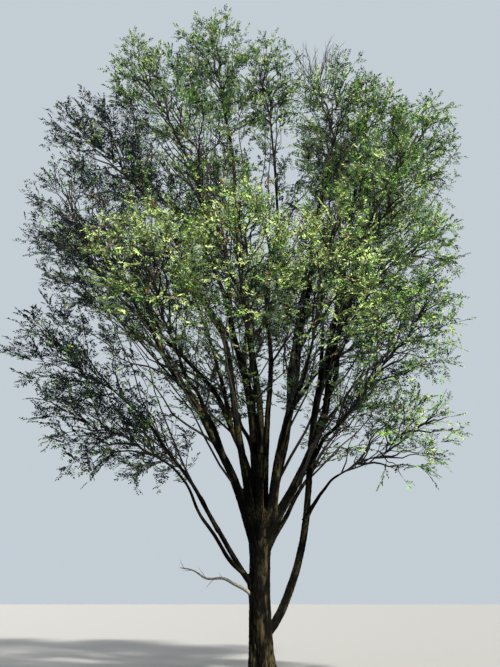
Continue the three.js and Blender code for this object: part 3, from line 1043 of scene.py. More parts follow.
    def fluted(self, limb: Limb, axis: Axis) -> Axis:
        """A leader's axis carried on downwards, sinking into the trunk as a flute."""
        heights = np.arange(self.flute_foot, self.trunk.fork_height - self.join_gap, self.sample)
        share = (heights - self.flute_foot) / (self.trunk.fork_height - self.flute_foot)
        out = (self.flute_sunk + (limb.plan.leader[1] - self.flute_sunk) * share**self.flute_bend)[:, None]
        points = self.trunk.axis(heights) + place(limb.plan.leader[0], 1, 0) * out
        foot = limb.plan.radius * self.flute_width
        return axis.led_in(points, foot + (axis.radii[0] - foot) * share**2)

    def ridged(self, limb: Limb, axis: Axis) -> Axis:
        """A low bough's axis led down the side of the trunk, sinking in as a ridge."""
        middle = self.trunk.axis(axis.points[:, 2])
        reach = np.hypot(axis.points[:, 0] - middle[:, 0], axis.points[:, 1])
        trunk = np.interp(axis.points[:, 2], self.trunk.heights, self.trunk.radii)
        first = int(np.argmax(reach > trunk - self.ridge_top * limb.plan.radius))
        top = axis.points[first]
        heights = np.arange(top[2] - self.ridge_run, top[2] - self.join_gap, self.sample)
        share = (heights - heights[0]) / self.ridge_run
        sunk = np.interp(heights, self.trunk.heights, self.trunk.radii)
        sunk = sunk - self.ridge_sunk * limb.plan.radius
        out = sunk + (reach[first] - sunk) * share**self.ridge_bend
        side = unit((top - middle[first]) * (1, 1, 0))
        points = self.trunk.axis(heights) + side * out[:, None]
        width = self.ridge_width + (1 - self.ridge_width) * share
        return axis.led_in(points, axis.radii[first] * width, first)

    def first_above(self, limb: Limb, axis: Axis) -> int:
        """The number of a limb's first point above the fused skin."""
        height = self.fused_top + self.collar_step * (limb.index % self.collar_heights)
        return int(np.argmax(axis.points[:, 2] > height))

    def fused_axes(self) -> list[Axis]:
        """The axes of the limbs that start in the trunk, as far up as the fused skin goes."""
        axes = []
        for limb in self.limbs.values():
            if not limb.plan.parent:
                axis = self.led_down(limb)[1]
                axes.append(axis.between(0, self.first_above(limb, axis)))
        return axes

    def node_names(self, side: bool) -> list[str]:
        """The nodes of the boughs that start in another bough, or of those that don't."""
        return ["bough_" + limb.plan.name for limb in self.limbs.values() if bool(limb.plan.parent) == side]

    def fused_skin(self, material: Material) -> bpy.types.Object:
        """One closed skin over the trunk and the feet of its limbs, with rounded crotches and relief."""
        bpy.ops.object.select_all(action="DESELECT")
        core = self.trunk_core()
        axes = self.fused_axes()
        for number, axis in enumerate(axes):
            radii = axis.radii.copy()
            radii[-len(self.foot_ends) :] *= self.foot_ends
            tube = pointed_tubes(axis.points[None], radii[None], self.foot_sides)
            mesh_object(f"foot_{number}", tube, True).select_set(True)
        bpy.context.view_layer.objects.active = core
        core.select_set(True)
        bpy.ops.object.join()
        core.name = core.data.name = "trunk_and_fork"
        self.modified(core, "REMESH", mode="VOXEL", voxel_size=self.voxel)
        self.modified(core, "SMOOTH", factor=0.5, iterations=self.smoothing)
        self.carve(core.data, [self.trunk_axis(), *axes])
        self.cut_flat(core)
        core.data.polygons.foreach_set("use_smooth", np.full(len(core.data.polygons), True))
        return dress(core, material, ["trunk", *self.node_names(side=False)])

    def modified(self, piece: bpy.types.Object, kind: str, **settings: Any) -> None:
        """Changes a piece for good by a modifier of one kind."""
        modifier = piece.modifiers.new(kind.lower(), kind)
        for name, value in settings.items():
            setattr(modifier, name, value)
        bpy.ops.object.modifier_apply(modifier=modifier.name)

    def carve(self, mesh: bpy.types.Mesh, axes: list[Axis]) -> None:
        """Moves a fused skin's points out and in by the bark's relief, and keeps the grain on them."""
        points = vectors_of(mesh.vertices, "co")
        found = [self.grain_about(points, axis) for axis in axes]
        near, grains, radii = (np.array(rows) for rows in zip(*found))
        weights = np.exp(-(near - near.min(axis=0)) / self.blend)
        weights[weights < self.LEAST_WEIGHT] = 0
        weights /= weights.sum(axis=0)
        height = np.zeros(len(points))
        move = np.zeros(len(points))
        for weight, grain, radius, axis in zip(weights, grains, radii, axes):
            used = weight > 0
            own = self.relief.height(grain[used], radius[used], axis.seed)
            height[used] += weight[used] * own
            move[used] += weight[used] * self.relief.offset(own, radius[used])
        set_points(mesh, points + vectors_of(mesh.vertex_normals, "vector") * move[:, None])
        set_values(mesh, "grain", grains[near.argmin(axis=0), np.arange(len(points))])
        set_values(mesh, "furrow", height)

    def grain_about(self, points: Array, axis: Axis) -> tuple[Array, Array, Array]:
        """Where points lie about an axis.

        Args:
            points: one in each row.
            axis: the limb's or the trunk's.

        Returns:
            Each point's distance from the limb's surface, its place across and along the limb,
            and the limb's radius.
        """
        squares = np.sum(points**2, axis=1)[:, None] + np.sum(axis.points**2, axis=1)
        squares -= 2 * points @ axis.points.T
        nearest = squares.argmin(axis=1)
        offset = points - axis.points[nearest]
        places = [np.sum(offset * frame[nearest], axis=1) for frame in (axis.x, axis.y, axis.ways)]
        places[2] = axis.run[nearest] + places[2]
        grain = np.stack(places, axis=1)
        radius = axis.radii[nearest]
        return np.linalg.norm(offset, axis=1) - radius, grain, radius

    def cut_flat(self, piece: bpy.types.Object) -> None:
        """Cuts a piece flat at the ground and closes it."""
        bpy.ops.object.mode_set(mode="EDIT")
        bpy.ops.mesh.select_all(action="SELECT")
        bpy.ops.mesh.bisect(plane_co=(0, 0, 0), plane_no=(0, 0, 1), clear_inner=True, use_fill=True)
        bpy.ops.object.mode_set(mode="OBJECT")
        self.modified(piece, "TRIANGULATE")

    def bark_tube(self, axis: Axis, sides: int) -> Shell:
        """A limb's tube with the bark's relief, closed at both ends."""
        turn = 2 * np.pi * np.arange(sides) / sides
        spokes = axis.x[:, None] * np.cos(turn)[:, None] + axis.y[:, None] * np.sin(turn)[:, None]
        radii = np.repeat(axis.radii, sides)
        ring = np.stack([np.cos(turn), np.sin(turn)], axis=1)
        across = np.tile(ring, (len(axis.run), 1)) * radii[:, None]
        grain = np.concatenate([across, np.repeat(axis.run, sides)[:, None]], axis=1)
        height = self.relief.height(grain, radii, axis.seed)
        size = radii + self.relief.offset(height, radii)
        points = np.repeat(axis.points, sides, axis=0) + spokes.reshape(-1, 3) * size[:, None]
        tip = axis.points[-1:] + axis.ways[-1:] * self.tip_length
        values = {"grain": np.concatenate([grain, grain[-1:]]), "furrow": np.append(height, 1.0)}
        triangles = tube_triangles(len(axis.run) + 1, sides)
        return Shell(np.concatenate([points, tip]), triangles, values)

    def upper_limbs(self, material: Material) -> list[bpy.types.Object]:
        """The limbs above the fused skin, and the boughs that grow from them."""
        leaders, boughs = [], []
        for limb in self.limbs.values():
            if limb.plan.parent:
                axis = self.limb_axis(limb, self.carrier_radius(limb))
                boughs.append(self.bark_tube(axis, self.side_bough_sides))
                continue
            axis, whole = self.led_down(limb)
            first = self.first_above(limb, axis) - self.fused_lap
            upper = axis.between(first, None)
            upper.run = axis.run[first:] + (whole.run[-1] - axis.run[-1])
            leaders.append(self.bark_tube(upper, self.sides))
        pieces = []
        for name, shells, side in (("leader_limbs", leaders, False), ("side_boughs", boughs, True)):
            piece = mesh_object(name, joined(shells), True)
            pieces.append(dress(piece, material, self.node_names(side)))
        return pieces


# Foliage

@dataclass
class Branch:
    """A small branch in the crown that carries twigs: its line, its thickness and the mass it lies in."""

    line: CentreLine
    radii: Pair  # at its foot and its tip
    limb: Limb
    leafy_from: float  # the share of its length where its twigs start


@dataclass(frozen=True)
class RisingGrowth:
    """A kind of branch that leaves a limb and rises through the open crown into the foliage about it."""

    count: int  # on each limb
    span: Pair  # shares of the limb's length between which they start
    floor: float  # none starts lower than this
    tries: int  # to reach a mass
    spread: Pair  # degrees from the limb
    length: Pair
    hold: float  # how far its own way and the limb's both count for the way of its tip
    pull: Pair  # how far the limb's way and that of its tip draw its tip aside
    foot: Pair  # its radius there
    foot_share: float  # the most of the limb's radius that it may have
    tip: float
    leafy_from: float
    wander: float
    seed: int
    lift: Pair | None = None  # how far its tip turns upwards


# A branch below a limb's mass, and a long, slender fork low on a limb that starts in the trunk.
LIMB_BRANCH = RisingGrowth(
    count=9,
    span=(0.34, 0.97),
    floor=4.6,
    tries=8,
    spread=(16, 40),
    length=(1.4, 3.6),
    hold=0.5,
    pull=(0.35, 0),
    foot=(0.016, 0.036),
    foot_share=0.5,
    tip=0.005,
    leafy_from=0.3,
    wander=0.04,
    seed=70,
)
STEEP_FORK = RisingGrowth(
    count=8,
    span=(0.06, 0.82),
    floor=3.7,
    tries=12,
    spread=(12, 30),
    length=(3.2, 6.5),
    hold=0.4,
    pull=(0, 1),
    foot=(0.028, 0.048),
    foot_share=0.6,
    tip=0.006,
    leafy_from=0.5,
    wander=0.04 * 0.6,
    seed=90,
    lift=(0.1, 0.5),
)


@dataclass
class Twigs:
    """Many twigs at once: roots, directions, bends and lengths, one in each row."""

    root: Array
    way: Array
    bend: Array
    length: Array
    normal: Array
    light: Array

    def at(self, share: Any) -> Array:
        """A point on each twig, at a share of its length."""
        part = np.broadcast_to(share, self.length.shape)
        reach = (part * self.length)[:, None]
        return self.root + self.way * reach + self.bend * reach * part[:, None]

    def along(self, share: Any) -> Array:
        """The direction of each twig at a share of its length."""
        part = np.broadcast_to(share, self.length.shape)
        return unit(self.way + 2 * self.bend * part[:, None])

    def columns(self) -> list[Array]:
        """Its arrays, in the order of the fields."""
        return [getattr(self, column.name) for column in fields(self)]

    def taken(self, rows: Array) -> Twigs:
        """The twigs in some of the rows, again and again where a row repeats."""
        return Twigs(*(column[rows] for column in self.columns()))


def together(groups: list[Twigs]) -> Twigs:
    """Several groups of twigs as one."""
    return Twigs(*(np.concatenate(columns) for columns in zip(*(group.columns() for group in groups))))


@dataclass
class Ranks:
    """Growth along many carriers, to either side in turn and one at each end: shoots, or leaves."""

    carriers: Twigs
    rows: Array  # the carrier of each
    number: Array  # its number along the carrier
    counts: Array  # how many each carrier has

    @classmethod
    def spaced(cls, carriers: Twigs, spacing: float, least: int) -> Ranks:
        """As many on each carrier as its length has room for, and no fewer than a least number."""
        counts = np.maximum(least, np.round(carriers.length / spacing).astype(int))
        rows = np.repeat(np.arange(len(counts)), counts)
        number = np.arange(len(rows)) - np.repeat(np.cumsum(counts) - counts, counts)
        return cls(carriers, rows, number, counts)

    def kept(self, chosen: Array) -> Ranks:
        """Some of them, at the places that they have."""
        return Ranks(self.carriers, self.rows[chosen], self.number[chosen], self.counts)

    def grown(
        self, first: float, end_angle: float, angles: Pair, draw: Draw
    ) -> tuple[Twigs, Array, Array, Array]:
        """Where and which way they grow.

        Args:
            first: the place of the first one, as a share of the spacing.
            end_angle: radians from the carrier, of the one at its end.
            angles: radians between which the others lie.
            draw: random numbers.

        Returns:
            The carrier of each, its share of the carrier's length, its normal and its way.
        """
        last = self.number == self.counts[self.rows] - 1
        share = np.where(last, 1.0, (self.number + first) / self.counts[self.rows])
        carrier = self.carriers.taken(self.rows)
        tangent = carrier.along(share)
        normal = unit(carrier.normal - dots(carrier.normal, tangent) * tangent)
        side = np.cross(normal, tangent) * np.where(self.number % 2, -1, 1)[:, None]
        angle = np.where(last, end_angle, draw.uniform(*angles, len(share)))[:, None]
        return carrier, share, normal, tangent * np.cos(angle) + side * np.sin(angle)


@dataclass
class Foliage:
    """The crown: stems and branches by the part's rule, then fine twigs, leafy shoots and leaves."""

    # Each corner of a leaf is a share of its length along the blade, across it, and above it.
    LEAF_OUTLINE = np.array(
        [(0.0, 0.0, 0.0), (0.42, 0.52, 0.12), (1.0, 0.0, -0.06), (0.66, -0.4, 0.07), (0.28, -0.5, 0.11)]
    )
    LEAF_FACES = np.array([(0, 1, 2), (0, 2, 3), (0, 3, 4)])
    EXTRA_SEED = 40
    CLUMP_SEED = 21

    limbs: dict[str, Limb]
    clearance: float = 0.0003  # between a limb's tip and its mass's stem
    stem_end: float = 0.62
    stem_foot: float = 0.9
    stem_tip: float = 0.008
    stem_leafy_from: float = 0.75
    stem_tube: tuple[int, int] = (16, 8)  # rings and sides
    branch_tube: tuple[int, int] = (9, 5)
    branch_taper: float = 0.8
    twig_taper: float = 0.75  # how much thinner a twig's tip is than its foot
    stem_steps: int = 3
    wander: float = 0.04
    solid_twigs: int = 6  # of the part's own rule, in each mass
    twig_span: Pair = (0.1, 0.95)
    twig_stray: float = 30
    twig_spread: Pair = (72, 30)
    twig_droop: float = 0.2
    spray_length: float = 1.4
    spray_root: float = 0.8
    least_twig: float = 0.22
    solid_radii: Pair = (0.019, 0.005)  # of these, at foot and tip
    leafy_from: float = 0.1  # where their twigs start
    more_branches: int = 15  # between the part's own ones
    extra_from: float = 0.02  # where on the stem they start
    extra_run: float = 0.9
    extra_crowding: float = 1.3  # more of them lie low on the stem
    extra_turn: float = 0.4
    extra_spread: Pair = (0.2, 0.65)  # of the part's own spread
    extra_reach: Pair = (0.6, 1.0)  # of the room that they have
    extra_foot: Pair = (0.02, 0.037)  # radius
    extra_tip: float = 0.006
    extra_leafy_from: float = 0.12
    inner_twigs: int = 18  # short ones along each limb, in the open middle of the crown
    inner_span: Pair = (0.3, 0.97)
    inner_spread: Pair = (25, 65)
    inner_length: Pair = (0.25, 0.9)
    inner_rise: float = 0.3
    inner_wave: float = 0.1
    overlap: float = 0.22  # how far fine growth crosses into the next mass
    reach_margin: float = 0.2  # kept for the shoots and leaves at a twig's end
    well_inside: float = 0.3  # how far inside a mass a rising branch ends
    stray: float = 0.1  # how far a shoot may pass the mass's outer edge
    skirt: float = 0.9  # how far thin growth goes on below a mass and towards the trunk
    skirt_share: float = 0.13
    skirt_floor: float = 6.5  # masses lower than this have none
    near_thinning: float = 0.85  # of the twigs in the sunlit masses, left out at the bottom
    bare_top: float = 12.0  # the open middle of the crown narrows up to this height
    bare_slope: float = 0.48
    bare_thinning: float = 0.92  # of the twigs there
    rise: float = 0.7  # how far twigs keep to the steep way that the mass grows
    starts: int = 14  # places on a branch that twigs may start from
    aside_cost: float = 2.4  # what a metre of twig costs where it neither goes forward nor rises
    least_forward: float = 0.15
    back_cost: float = 3.0  # more, for a twig that goes less forward than that
    most_cost: float = 3.4  # a place that costs more than this gets no twig
    least_reach: float = 0.1
    tip_twig: Pair = (0.15, 0.3)  # length of the twig that goes on from a branch's tip
    twig_lead: float = 0.5  # how far a twig leaves its branch along it
    twig_wave: float = 0.08
    twig_hang: float = 0.1
    twig_roll: float = 0.5
    clump_size: float = 0.9
    raggedness: float = 0.15  # of the clumps' edges
    deep_share: float = 0.4  # of the twigs, kept in the middle of a mass
    shoot_spacing: float = 0.1
    shoot_length: Pair = (0.14, 0.3)
    shoot_first: float = 0.8  # where the first one starts, in steps along the twig
    shoot_angles: Pair = (0.6, 1.1)  # radians from the twig
    shoot_end: float = 0.1  # the same, for the one at its end
    shoot_stray: float = 0.18
    shoot_rise: float = 0.2
    shoot_hang: float = 0.25
    shoot_roll: float = 0.25
    shoot_shorter: float = 0.25  # towards the twig's end
    shoot_foot: float = 0.0024  # radius
    twig_foot: float = 0.0075
    leaf_spacing: float = 0.0255
    leaf_first: float = 0.7
    leaf_angles: Pair = (0.7, 1.15)
    leaf_end: float = 0.15
    leaf_stray: float = 0.2
    leaf_shorter: float = 0.2  # towards both ends of a shoot
    leaf_upright: float = 0.5  # how far it keeps the side that its shoot turns up
    leaf_length: float = 0.092
    leaf_sizes: Pair = (0.7, 1.12)  # the smallest and the largest, as shares of it
    leaf_width: float = 0.49  # of its length
    near_line: float = -1.8  # leaves in front of this are nearer their own size
    near_share: float = 0.84
    dark_inside: Pair = (0.2, 0.85)  # depths in a mass between which the deeper tints of painted shade give way
    sun_share: float = 0.22  # how far its side to the sun counts as further out
    sun_seeking: float = 0.6  # how far a leaf turns its upper side to the light
    outward: float = 0.8  # and away from the trunk
    unruly: float = 0.75  # and any way
    most_leaves: int = 285_000

    def stem(self, limb: Limb) -> CentreLine:
        """A mass's stem, which goes on from its limb's tip."""
        mass = limb.mass
        start = limb.line.at(1)[0] + mass.axis * self.clearance
        end = mass.middle + mass.axis * mass.long * self.stem_end
        random = limb.mass_numbers(0)
        return CentreLine(start, mass.axis, end, mass.axis, random, self.wander)

    def spread_at(self, share: float) -> float:
        """Degrees between a stem and a twig at a share of the stem's length."""
        first, last = self.twig_spread
        return first + (last - first) * share

    def drooping(self, root: Array, way: Array, end: Array, random: SeededNumbers) -> CentreLine:
        """The line of a branch whose tip hangs a little."""
        return CentreLine(root, way, end, turned(way, 0, -self.twig_droop), random, self.wander)

    def solid_branch(self, limb: Limb, stem: CentreLine, number: int) -> Branch:
        """One of the part's own twigs, carried on to the edge of its mass."""
        random = limb.mass_numbers(number + 1)
        first, last = self.twig_span
        t = first + ((last - first) * (number + 0.5 * random())) / self.solid_twigs
        root = stem.chord_point(self.stem_steps, t)
        turn = math.radians(GOLDEN_ANGLE * number + self.twig_stray * random()) + limb.index
        way = branching(stem.along(t)[0], self.spread_at(t), turn)
        room = limb.mass.room(root, way)
        length = max(room - self.spray_length * self.spray_root, self.least_twig)
        end = root + way * max(length, room - 2 * self.reach_margin)
        return Branch(self.drooping(root, way, end, random), self.solid_radii, limb, self.leafy_from)

    def extra_branch(self, limb: Limb, stem: CentreLine, number: int, draw: Draw) -> Branch | None:
        """A branch between the part's own ones, by the same rule."""
        step = (number + draw.uniform(0, 0.9)) / self.more_branches
        t = self.extra_from + self.extra_run * step**self.extra_crowding
        root = stem.at(t)[0]
        stray = either_way(draw, self.extra_turn)
        turn = math.radians(GOLDEN_ANGLE * (number + 0.5)) + stray + limb.index
        way = branching(stem.along(t)[0], self.spread_at(t) * draw.uniform(*self.extra_spread), turn)
        room = limb.mass.room(root, way, self.overlap) - 2 * self.reach_margin
        length = room * draw.uniform(*self.extra_reach)
        if length < self.least_twig:
            return None
        random = limb.mass_numbers(number + self.EXTRA_SEED)
        line = self.drooping(root, way, root + way * length, random)
        radii = (draw.uniform(*self.extra_foot), self.extra_tip)
        return Branch(line, radii, limb, self.extra_leafy_from)

    def rising_branch(self, kind: RisingGrowth, limb: Limb, number: int, draw: Draw) -> Branch | None:
        """A branch that leaves the limb and rises into the foliage around.

        Args:
            kind: its kind.
            limb: what it leaves.
            number: its number along the limb.
            draw: random numbers.

        Returns:
            The branch, or None where it would start too low or reach no mass.
        """
        low, high = kind.span
        t = low + (high - low) * (number + draw.uniform(0.1, 0.9)) / kind.count
        root = limb.line.at(t)[0]
        if root[2] < kind.floor:
            return None
        along = limb.line.along(t)[0]
        for attempt in range(kind.tries):
            turn = math.radians(GOLDEN_ANGLE * (number + attempt)) + either_way(draw, 0.5)
            way = branching(along, draw.uniform(*kind.spread), turn)
            lift = draw.uniform(*kind.lift) if kind.lift else 0.0
            last_way = unit(way * kind.hold + along * kind.hold + UP * lift)
            pull = along * kind.pull[0] + last_way * kind.pull[1]
            end = root + unit(way + pull) * draw.uniform(*kind.length)
            found = self.mass_about(end)
            if found is not None:
                random = limb.mass_numbers(number + kind.seed)
                line = CentreLine(root, way, end, last_way, random, kind.wander)
                foot = min(kind.foot_share * float(limb.radius(t)), draw.uniform(*kind.foot))
                return Branch(line, (foot, kind.tip), found, kind.leafy_from)
        return None

    def mass_about(self, point: Array) -> Limb | None:
        """The limb whose mass holds a point well inside its edge."""
        margin = self.well_inside
        holding = (limb for limb in self.limbs.values() if limb.mass.holds(point[None], margin)[0])
        return next(holding, None)

    def branches(self) -> tuple[list[Branch], list[Branch]]:
        """All stems, and all branches that carry twigs."""
        stems, found = [], []
        for limb in self.limbs.values():
            draw = np.random.default_rng(SEED + limb.index)
            stem = self.stem(limb)
            foot = float(limb.radius(1)) * self.stem_foot
            stems.append(Branch(stem, (foot, self.stem_tip), limb, self.stem_leafy_from))
            made = [self.solid_branch(limb, stem, i) for i in range(self.solid_twigs)]
            made += [self.extra_branch(limb, stem, i, draw) for i in range(self.more_branches)]
            for kind in (LIMB_BRANCH,) if limb.plan.parent else (LIMB_BRANCH, STEEP_FORK):
                made += [self.rising_branch(kind, limb, i, draw) for i in range(kind.count)]
            found += [branch for branch in made if branch is not None]
        return stems, found

    def places_to_fill(self, mass: Mass, light: str, draw: Draw) -> Array:
        """Places spread through a mass's space for its twigs to reach, in clumps and fewer deep inside."""
        pitch, clump_gap = TWIG_SPACING[light]
        half = max(mass.long, mass.wide) + self.skirt
        cells = np.arange(-half, half, pitch)
        grid = np.stack(np.meshgrid(cells, cells, cells), axis=-1).reshape(-1, 3)
        spots = mass.middle + grid + draw.uniform(0, pitch, grid.shape)
        share = self.skirt_share if mass.middle[2] > self.skirt_floor else 0.0
        thin = mass.skirts(spots, self.skirt - self.reach_margin) & (draw.random(len(spots)) < share)
        spots = spots[mass.holds(spots, self.reach_margin, self.overlap) | thin]
        ragged = either_way(draw, self.raggedness, len(spots))
        clumps = smooth_noise(spots / self.clump_size, self.CLUMP_SEED) + ragged
        deep = draw.random(len(spots)) > self.deep_share + (1 - self.deep_share) * mass.depth(spots) ** 0.5
        if light == "sun":
            low = (mass.middle[2] - spots[:, 2]) / mass.wide
            deep |= draw.random(len(spots)) < self.near_thinning * np.clip(low, 0, 1)
        bare = np.hypot(spots[:, 0], spots[:, 1]) < self.bare_slope * (self.bare_top - spots[:, 2])
        deep |= bare & (draw.random(len(spots)) < self.bare_thinning)
        return spots[(clumps > clump_gap) & ~deep]

    def twigs_of(self, mass: Mass, light: str, branches: list[Branch], draw: Draw) -> Twigs:
        """The twigs of one mass: each reaches a place to fill from the branch that leads there best.

        Args:
            mass: the space to fill.
            light: how the sun finds it.
            branches: the branches that lie in it.
            draw: random numbers.

        Returns:
            The twigs, those that go on from the branches' tips among them.
        """
        shares = [np.linspace(branch.leafy_from, 1, self.starts) for branch in branches]
        lines = [(branch.line, share) for branch, share in zip(branches, shares)]
        origins = np.concatenate([line.at(share) for line, share in lines])
        ways = np.concatenate([line.along(share) for line, share in lines])
        ends = self.places_to_fill(mass, light, draw)
        gap = ends[:, None] - origins[None]
        distance = np.linalg.norm(gap, axis=2)
        forward = np.sum(gap * ways, axis=2) / distance
        rising = gap @ unit(mass.axis + UP) / distance
        cost = distance * (self.aside_cost - forward - self.rise * rising)
        cost += np.where(forward < self.least_forward, self.back_cost, 0.0)
        best = cost.argmin(axis=1)
        rows = np.arange(len(ends))
        near = (cost[rows, best] < self.most_cost) & (distance[rows, best] > self.least_reach)
        tips = np.array([branch.line.at(1)[0] for branch in branches])
        tip_ways = np.array([branch.line.along(1)[0] for branch in branches])
        root = np.concatenate([origins[best][near], tips])
        tangent = np.concatenate([ways[best][near], tip_ways])
        beyond = tip_ways * draw.uniform(*self.tip_twig, (len(tips), 1))
        end = np.concatenate([ends[near], tips + beyond])
        length = np.linalg.norm(end - root, axis=1)
        straight = (end - root) / length[:, None]
        count = len(root)
        way = unit(straight + tangent * self.twig_lead)
        wave = either_way(draw, self.twig_wave, (count, 3))
        bend = straight - way + wave - UP * draw.uniform(0, self.twig_hang, (count, 1))
        upper = np.cross(unit(np.cross(straight, UP)), straight)
        normal = unit(upper + either_way(draw, self.twig_roll, (count, 3)))
        return Twigs(root, way, bend, length, normal, np.full(count, LIGHTS.index(light)))

    def inner_twigs_of(self, limb: Limb, draw: Draw) -> Twigs:
        """Short, thinly leaved twigs along a limb below its mass."""
        low, high = self.inner_span
        count = self.inner_twigs * (2 if limb.plan.light == "top" else 1)
        share = low + (high - low) * (np.arange(count) + draw.random(count)) / count
        tangent = limb.line.along(share)
        turn = draw.uniform(0, 2 * math.pi, count)
        way = branching(tangent, draw.uniform(*self.inner_spread, count), turn)
        bend = self.inner_rise * tangent + either_way(draw, self.inner_wave, way.shape)
        normal = unit(np.cross(unit(np.cross(way, UP)), way))
        length = draw.uniform(*self.inner_length, count)
        # Their sprays are dealt the inner tints: painted shade.
        lights = np.full(count, LIGHTS.index("inner"))
        twigs = Twigs(limb.line.at(share), way, bend, length, normal, lights)
        return twigs.taken(np.flatnonzero(twigs.root[:, 2] > LIMB_BRANCH.floor))

    def darken_inside(self, mass: Mass, shoots: Twigs, draw: Draw) -> None:
        """Marks sprays inside a mass, and on its side away from the sun, to be dealt the deeper tints of
        painted shade.
        """
        places = shoots.at(0.5)
        sunward = unit(places - mass.middle) @ SUNWARD
        exposed = np.sqrt(mass.depth(places)) + self.sun_share * sunward
        inside = draw.random(len(exposed)) > soft_step(*self.dark_inside, exposed)
        shoots.light[inside] = LIGHTS.index("inner")

    def shoots_of(self, twigs: Twigs, draw: Draw) -> Twigs:
        """The leafy shoots along every twig, to either side in turn, and one at its end."""
        ranks = Ranks.spaced(twigs, self.shoot_spacing, 2)
        first, end = self.shoot_first, self.shoot_end
        carrier, share, normal, way = ranks.grown(first, end, self.shoot_angles, draw)
        count = len(share)
        stray = either_way(draw, self.shoot_stray, (count, 3))
        way = unit(way + (stray + UP * self.shoot_rise))
        length = draw.uniform(*self.shoot_length, count) * (1 - self.shoot_shorter * share)
        bend = -UP * draw.uniform(0.0, self.shoot_hang, count)[:, None]
        normal = unit(normal + either_way(draw, self.shoot_roll, (count, 3)))
        return Twigs(carrier.at(share), way, bend, length, normal, carrier.light)

    def leaf_shell(self, base: Array, way: Array, normal: Array, length: Array) -> Shell:
        """Small pointed leaves of three faces, folded a little along the midrib, one side fuller.

        Args:
            base: where each blade starts.
            way: its direction.
            normal: which way its upper side faces.
            length: its length.

        Returns:
            One shell with all the leaves.
        """
        across = unit(np.cross(normal, way)) * self.leaf_width
        frame = np.stack([way, across, np.cross(way, unit(across))], axis=1)
        points = base[:, None] + self.LEAF_OUTLINE @ frame * length[:, None, None]
        faces = repeated(self.LEAF_FACES, len(base), len(self.LEAF_OUTLINE))
        return Shell(points.reshape(-1, 3), faces)

    def leaves_of(self, shoots: Twigs, draw: Draw) -> tuple[Array, ...]:
        """The leaves along every shoot, in two ranks.

        Args:
            shoots: the leafy shoots.
            draw: random numbers.

        Returns:
            The bases, directions, normals, lengths and shoot numbers of the leaves.
        """
        ranks = Ranks.spaced(shoots, self.leaf_spacing, 3)
        count = len(ranks.rows)
        if count > self.most_leaves:
            ranks = ranks.kept(draw.random(count) < self.most_leaves / count)
        first, end = self.leaf_first, self.leaf_end
        carrier, share, normal, way = ranks.grown(first, end, self.leaf_angles, draw)
        way = unit(way + either_way(draw, self.leaf_stray, way.shape))
        base = carrier.at(share)
        normal = self.leaf_upright * normal + self.outward * unit(base * (1, 1, 0))
        normal = normal + self.sun_seeking * SUNWARD
        normal = normal + either_way(draw, self.unruly, normal.shape)
        normal = unit(normal - dots(normal, way) * way)
        length = self.leaf_length * draw.uniform(*self.leaf_sizes, len(share))
        length = length * (1 - self.leaf_shorter * np.abs(share - 0.5))
        length = length * np.where(carrier.root[:, 1] < self.near_line, self.near_share, 1.0)
        return base, way, normal, length, ranks.rows

    def tints_of(self, twigs: Twigs, draw: Draw) -> Array:
        """The number of a tint for each spray, dealt out by how the sun finds its mass."""
        shares = np.array([TINT_SHARES[name] for name in LIGHTS])
        limits = np.cumsum(shares, axis=1)[twigs.light]
        return np.minimum((draw.random(len(limits))[:, None] > limits).sum(axis=1), len(LeafTint) - 1)

    def build(self, bark: Material) -> None:
        """Makes the crown's pieces: branches, twigs and the leaves of each tint."""
        draw = np.random.default_rng(SEED)
        nodes = ["foliage_" + name for name in self.limbs]
        stems, branches = self.branches()
        twig_groups, shoot_groups = [], []
        for limb in self.limbs.values():
            own = [branch for branch in [*stems, *branches] if branch.limb is limb]
            twigs = self.twigs_of(limb.mass, limb.plan.light, own, draw)
            shoots = self.shoots_of(twigs, draw)
            ends = shoots.at(1.0)
            kept = limb.mass.depth(ends, -self.stray) < 1
            if limb.mass.middle[2] > self.skirt_floor:
                kept |= limb.mass.skirts(ends, self.skirt)
            shoots = shoots.taken(np.flatnonzero(kept))
            self.darken_inside(limb.mass, shoots, draw)
            inner = self.inner_twigs_of(limb, draw)
            twig_groups += [twigs, inner]
            shoot_groups += [shoots, self.shoots_of(inner, draw)]
        twigs, shoots = together(twig_groups), together(shoot_groups)
        log.info("%d branches, %d twigs, %d shoots", len(branches), len(twigs.length), len(shoots.length))
        shells = {
            "crown_branches": self.branch_shell(stems, branches),
            "fine_twigs": self.tubes(twigs, (0.0, 0.35, 0.7, 1.0), self.twig_foot),
            "leafy_shoots": self.tubes(shoots, (0.0, 1.0), self.shoot_foot),
        }
        for name, shell in shells.items():
            dress(mesh_object(name, shell, True), bark, nodes)
        spray_tints = self.tints_of(shoots, draw)
        base, way, normal, length, rows = self.leaves_of(shoots, draw)
        leaf_tints = spray_tints[rows]
        for number, tint in enumerate(LeafTint):
            material = leaf_blade(tint).make()
            chosen = np.flatnonzero(leaf_tints == number)
            parts = max(1, math.ceil(len(chosen) * 3 / PIECE_LIMIT))
            for part, some in enumerate(np.array_split(chosen, parts)):
                shell = self.leaf_shell(base[some], way[some], normal[some], length[some])
                name = f"leaves_{tint.name.lower()}_{part + 1}"
                dress(mesh_object(name, shell, False), material, nodes)

    def branch_shell(self, stems: list[Branch], branches: list[Branch]) -> Shell:
        """The stems and branches as tapering tubes."""
        shells = []
        for group, (rings, sides) in ((stems, self.stem_tube), (branches, self.branch_tube)):
            share = np.linspace(0, 1, rings)
            paths = np.array([branch.line.at(share) for branch in group])
            ends = np.array([branch.radii for branch in group])
            radii = ends[:, :1] + (ends[:, 1:] - ends[:, :1]) * share**self.branch_taper
            shells.append(pointed_tubes(paths, radii, sides))
        return joined(shells)

